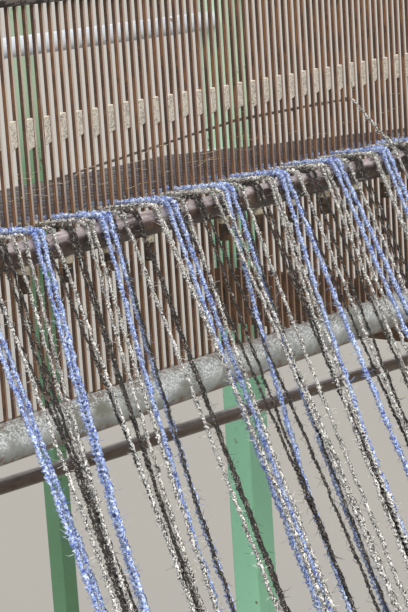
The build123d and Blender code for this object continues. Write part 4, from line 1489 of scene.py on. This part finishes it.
@dataclass
class Drum:
    """The warping drum with the section of warp wound on it."""

    bench: Bench
    ends: int = ENDS
    first_end: int = 6
    repeats_before: int = 20
    band_depth: float = 8.6 * MM
    round_steps: int = 120
    cuts_per_end: int = 3
    scallop: float = 0.9 * MM
    end_slope: float = 5.0 * MM

    def build(self) -> None:
        """Builds the wound warp and dresses the drum, brake wheel and crank."""
        bench = self.bench
        self.build_wound_warp()
        staves = Timber((0.60, 0.40, 0.21), (0.34, 0.18, 0.08), Along.X, 0.34, 55.0)
        bench.dress(staves, "stave_wood_finish", "drum_staves", bevel=2 * MM)
        iron = MachinePaint((0.060, 0.072, 0.070), under=(0.15, 0.08, 0.05), chips=0.63, grain=240.0)
        wheels = ("drum_spider_left", "drum_spider_middle", "drum_spider_right", "brake_wheel")
        bench.dress(iron, "spider_iron_finish", *wheels, bevel=1.2 * MM)
        steel = BareSteel((0.58, 0.57, 0.55), (0.20, 0.12, 0.08), 0.36, gloss=0.28)
        bench.dress(steel, "bright_steel_finish", "drum_shaft", bevel=0.8 * MM)
        arm = BareSteel((0.15, 0.15, 0.15), (0.17, 0.095, 0.06), 0.42, Along.Z, gloss=0.4, metal=0.85)
        bench.dress(arm, "dark_steel_finish", "crank_arm", bevel=1.2 * MM)
        grip = Timber((0.50, 0.29, 0.14), (0.25, 0.12, 0.05), Along.X, 0.3, 90.0)
        bench.dress(grip, "grip_wood_finish", "crank_grip", bevel=0.6 * MM)

    def build_wound_warp(self) -> None:
        """Spins the wound section about the drum's axis, one ridge to an end."""
        low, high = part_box("warp_band")
        centre = (low + high) / 2
        outer = (high.z - low.z) / 2
        inner = outer - self.band_depth
        bm = bmesh.new()
        corners = [(low.x, inner), (low.x + self.end_slope, outer), (high.x - self.end_slope, outer), (high.x, inner)]
        verts = [bm.verts.new((x, centre.y, centre.z + radius)) for x, radius in corners]
        edges = [bm.edges.new((verts[i], verts[(i + 1) % 4])) for i in range(4)]
        bmesh.ops.subdivide_edges(bm, edges=[edges[1]], cuts=self.ends * self.cuts_per_end - 1)
        top = [v for v in bm.verts if v.co.z > centre.z + outer - 0.1 * MM]
        wide = (high.x - low.x - 2 * self.end_slope) / self.ends
        for vert in top:
            phase = ((vert.co.x - low.x - self.end_slope) / wide) % 1.0
            vert.co.z -= self.scallop * (2 * abs(phase - 0.5)) ** 2
        bmesh.ops.spin(
            bm,
            geom=bm.verts[:] + bm.edges[:],
            cent=centre,
            axis=(1, 0, 0),
            dvec=(0, 0, 0),
            angle=math.tau,
            steps=self.round_steps,
            use_merge=True,
        )
        bmesh.ops.remove_doubles(bm, verts=bm.verts, dist=0.01 * MM)
        mesh = Fittings.finish(bm, "wound_warp", smooth=True)
        stripes = tuple(STRIPE_TONES[shade] for shade in STRIPE_ORDER)
        start = low.x + self.end_slope + wide * (self.first_end - len(STRIPE_ORDER) * self.repeats_before)
        piece = self.bench.link("wound_warp", mesh, WoundWarp(start, wide, stripes), "wound_warp_finish")
        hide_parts("warp_band")
        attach(piece, "drum")


@dataclass
class GuideCarriage:
    """The section guide on its slide rails, with its small reed and roller."""

    bench: Bench

    def build(self) -> None:
        """Dresses the saddle, reed, roller, knob and slide rails."""
        bench = self.bench
        casting = MachinePaint((0.10, 0.24, 0.13), under=(0.09, 0.07, 0.06), chips=0.67, grain=300.0)
        bench.dress(casting, "saddle_finish", "guide_saddle", bevel=1.2 * MM)
        steel = BareSteel((0.66, 0.65, 0.62), (0.24, 0.15, 0.09), 0.30, gloss=0.22)
        rods = ("slide_rail_front", "slide_rail_rear", "roller_spindle", "brake_pivot_pin")
        bench.dress(steel, "slide_steel_finish", *rods)
        frame_wood = Timber((0.52, 0.35, 0.19), (0.30, 0.17, 0.08), Along.X, 0.4, 110.0)
        bench.dress(frame_wood, "reed_frame_wood_finish", "section_reed_frame", bevel=0.8 * MM)
        wire = BareSteel((0.70, 0.69, 0.66), (0.30, 0.20, 0.12), 0.28, Along.Z, gloss=0.25)
        bench.dress(wire, "bright_wire_finish", "section_reed_wires", bevel=0.1 * MM)
        roller = Timber((0.62, 0.44, 0.25), (0.38, 0.22, 0.10), Along.X, 0.32, 100.0)
        bench.dress(roller, "roller_wood_finish", "guide_roller", bevel=0.5 * MM)
        knob = BareSteel((0.14, 0.14, 0.14), (0.18, 0.10, 0.06), 0.38, gloss=0.35, metal=0.8)
        bench.dress(knob, "knob_steel_finish", "clamp_knob", bevel=0.8 * MM)


@dataclass
class Brake:
    """The hand brake on the drum."""

    bench: Bench

    def build(self) -> None:
        """Dresses the lever, shoe and grip."""
        bench = self.bench
        lever = BareSteel((0.14, 0.14, 0.14), (0.17, 0.095, 0.06), 0.42, Along.Z, gloss=0.42, metal=0.8)
        bench.dress(lever, "lever_steel_finish", "brake_lever", bevel=1.2 * MM)
        shoe = Timber((0.40, 0.26, 0.15), (0.17, 0.09, 0.05), Along.Z, 0.62, 90.0)
        bench.dress(shoe, "brake_wood_finish", "brake_shoe", bevel=1.2 * MM)
        grip = Timber((0.48, 0.28, 0.13), (0.24, 0.12, 0.05), Along.Z, 0.32, 90.0)
        bench.dress(grip, "brake_grip_finish", "brake_grip", bevel=0.6 * MM)


@dataclass(frozen=True)
class Lamp:
    """One soft square lamp."""

    name: str
    place: tuple[float, float, float]
    target: tuple[float, float, float]
    size: float
    power: float
    colour: Colour

    def hang(self) -> None:
        """Hangs the lamp and points it at its target."""
        lamp = bpy.data.lights.new(self.name, "AREA")
        lamp.shape = "SQUARE"
        lamp.size = self.size
        lamp.energy = self.power
        lamp.color = self.colour
        holder = bpy.data.objects.new(self.name, lamp)
        holder.location = self.place
        holder.rotation_euler = (Vector(self.target) - Vector(self.place)).to_track_quat("-Z", "Y").to_euler()
        bpy.context.scene.collection.objects.link(holder)


@dataclass
class Studio:
    """The floor, the soft light and the camera at the photograph's place."""

    camera_at: tuple[float, float, float] = (-0.5934, 0.1399, 1.4071)
    to_right: tuple[float, float, float] = (0.64140749, -0.76456973, -0.06347885)
    upward: tuple[float, float, float] = (0.19406127, 0.08163581, 0.97758673)
    inward: tuple[float, float, float] = (0.74225108, 0.63935024, -0.20073519)
    focal_pixels: float = 1968.77
    picture_height: float = 612.0
    sensor: float = 36.0
    floor_radius: float = 4.2
    fade_from: float = 1.7
    floor_colour: Colour = (0.66, 0.64, 0.60)
    backdrop: Colour = (0.60, 0.575, 0.53)
    backdrop_low: Colour = (0.50, 0.475, 0.43)
    sweep: tuple[float, float] = (-0.25, -0.13)
    sky: Colour = (0.80, 0.83, 0.88)
    sky_strength: float = 0.42
    lamps: tuple[Lamp, ...] = (
        Lamp("key", (-1.6, -1.5, 3.4), (0.0, 0.3, 1.1), 1.8, 120.0, (1.0, 0.965, 0.92)),
        Lamp("fill", (-2.6, 1.6, 2.2), (0.0, 0.5, 1.1), 2.0, 22.0, (0.90, 0.95, 1.0)),
        Lamp("back", (2.4, 2.6, 3.0), (0.0, 0.4, 1.1), 2.0, 30.0, (0.95, 0.97, 1.0)),
    )

    def build(self) -> None:
        """Builds the floor, the world, the lamps and the camera."""
        bpy.context.scene.view_settings.view_transform = "Standard"
        self.build_floor()
        self.build_world()
        for lamp in self.lamps:
            lamp.hang()
        self.build_camera()

    def build_floor(self) -> None:
        """Makes the plain pale floor."""
        bm = bmesh.new()
        bmesh.ops.create_circle(bm, cap_ends=True, segments=96, radius=self.floor_radius)
        mesh = Fittings.finish(bm, "studio_floor")
        shader = Shader("studio_floor_finish")
        cloud = shader.noise(shader.place(), 1.1, 3.0)
        away = shader.node("ShaderNodeVectorMath", {"operation": "LENGTH"}, {0: shader.place()}, "Value")
        dim = tuple(0.97 * c for c in self.floor_colour)
        tone = shader.mix(cloud, dim, self.floor_colour)
        alpha = 1.0 - away.between(self.fade_from, self.floor_radius - 0.1)
        shader.finish(base_color=tone, roughness=0.85, alpha=alpha)
        mesh.materials.append(shader.material)
        floor = bpy.data.objects.new("studio_floor", mesh)
        bpy.context.scene.collection.objects.link(floor)

    def build_world(self) -> None:
        """Lights from all round, and shows the pale backdrop behind the object."""
        world = bpy.data.worlds.new("studio")
        bpy.context.scene.world = world
        nodes = Nodes(world)
        around = nodes.node("ShaderNodeTexCoord", {}, {}, "Generated")
        tone = nodes.mix(nodes.axis(around, "Z").between(*self.sweep), self.backdrop_low, self.backdrop)
        light = nodes.node("ShaderNodeBackground", {}, {"Color": self.sky, "Strength": self.sky_strength})
        seen = nodes.node("ShaderNodeBackground", {}, {"Color": tone})
        share: Value | float = 0.0
        for ray in ("Is Camera Ray", "Is Glossy Ray", "Is Transmission Ray"):
            path = nodes.node("ShaderNodeLightPath", {}, {}, ray)
            share = nodes.node("ShaderNodeMath", {"operation": "MAXIMUM"}, {0: share, 1: path})
        both = nodes.node("ShaderNodeMixShader", {}, {0: share, 1: light, 2: seen})
        nodes.plug(nodes.tree.nodes.new("ShaderNodeOutputWorld").inputs["Surface"], both)

    def build_camera(self) -> None:
        """Sets the camera that was fitted to the photograph."""
        lens = bpy.data.cameras.new("photo_camera")
        lens.sensor_width = self.sensor
        lens.lens = self.focal_pixels * self.sensor / self.picture_height
        lens.clip_start = 0.01
        lens.clip_end = 60.0
        camera = bpy.data.objects.new("photo_camera", lens)
        turned = Matrix((self.to_right, self.upward, tuple(-c for c in self.inward))).transposed()
        camera.matrix_world = Matrix.Translation(self.camera_at) @ turned.to_4x4()
        bpy.context.scene.collection.objects.link(camera)
        bpy.context.scene.camera = camera


def main() -> None:
    """Builds every sub-assembly, then the studio."""
    logging.basicConfig(level=logging.INFO, format="%(message)s")
    bench = Bench()
    for part in (
        ReedHead(bench),
        Stand(bench),
        YarnSheet(bench),
        Drum(bench),
        Base(bench),
        GuideCarriage(bench),
        Brake(bench),
        Studio(),
    ):
        part.build()
        log.info("%s is built", type(part).__name__)
    bpy.context.view_layer.update()


if __name__ == "__main__":
    main()
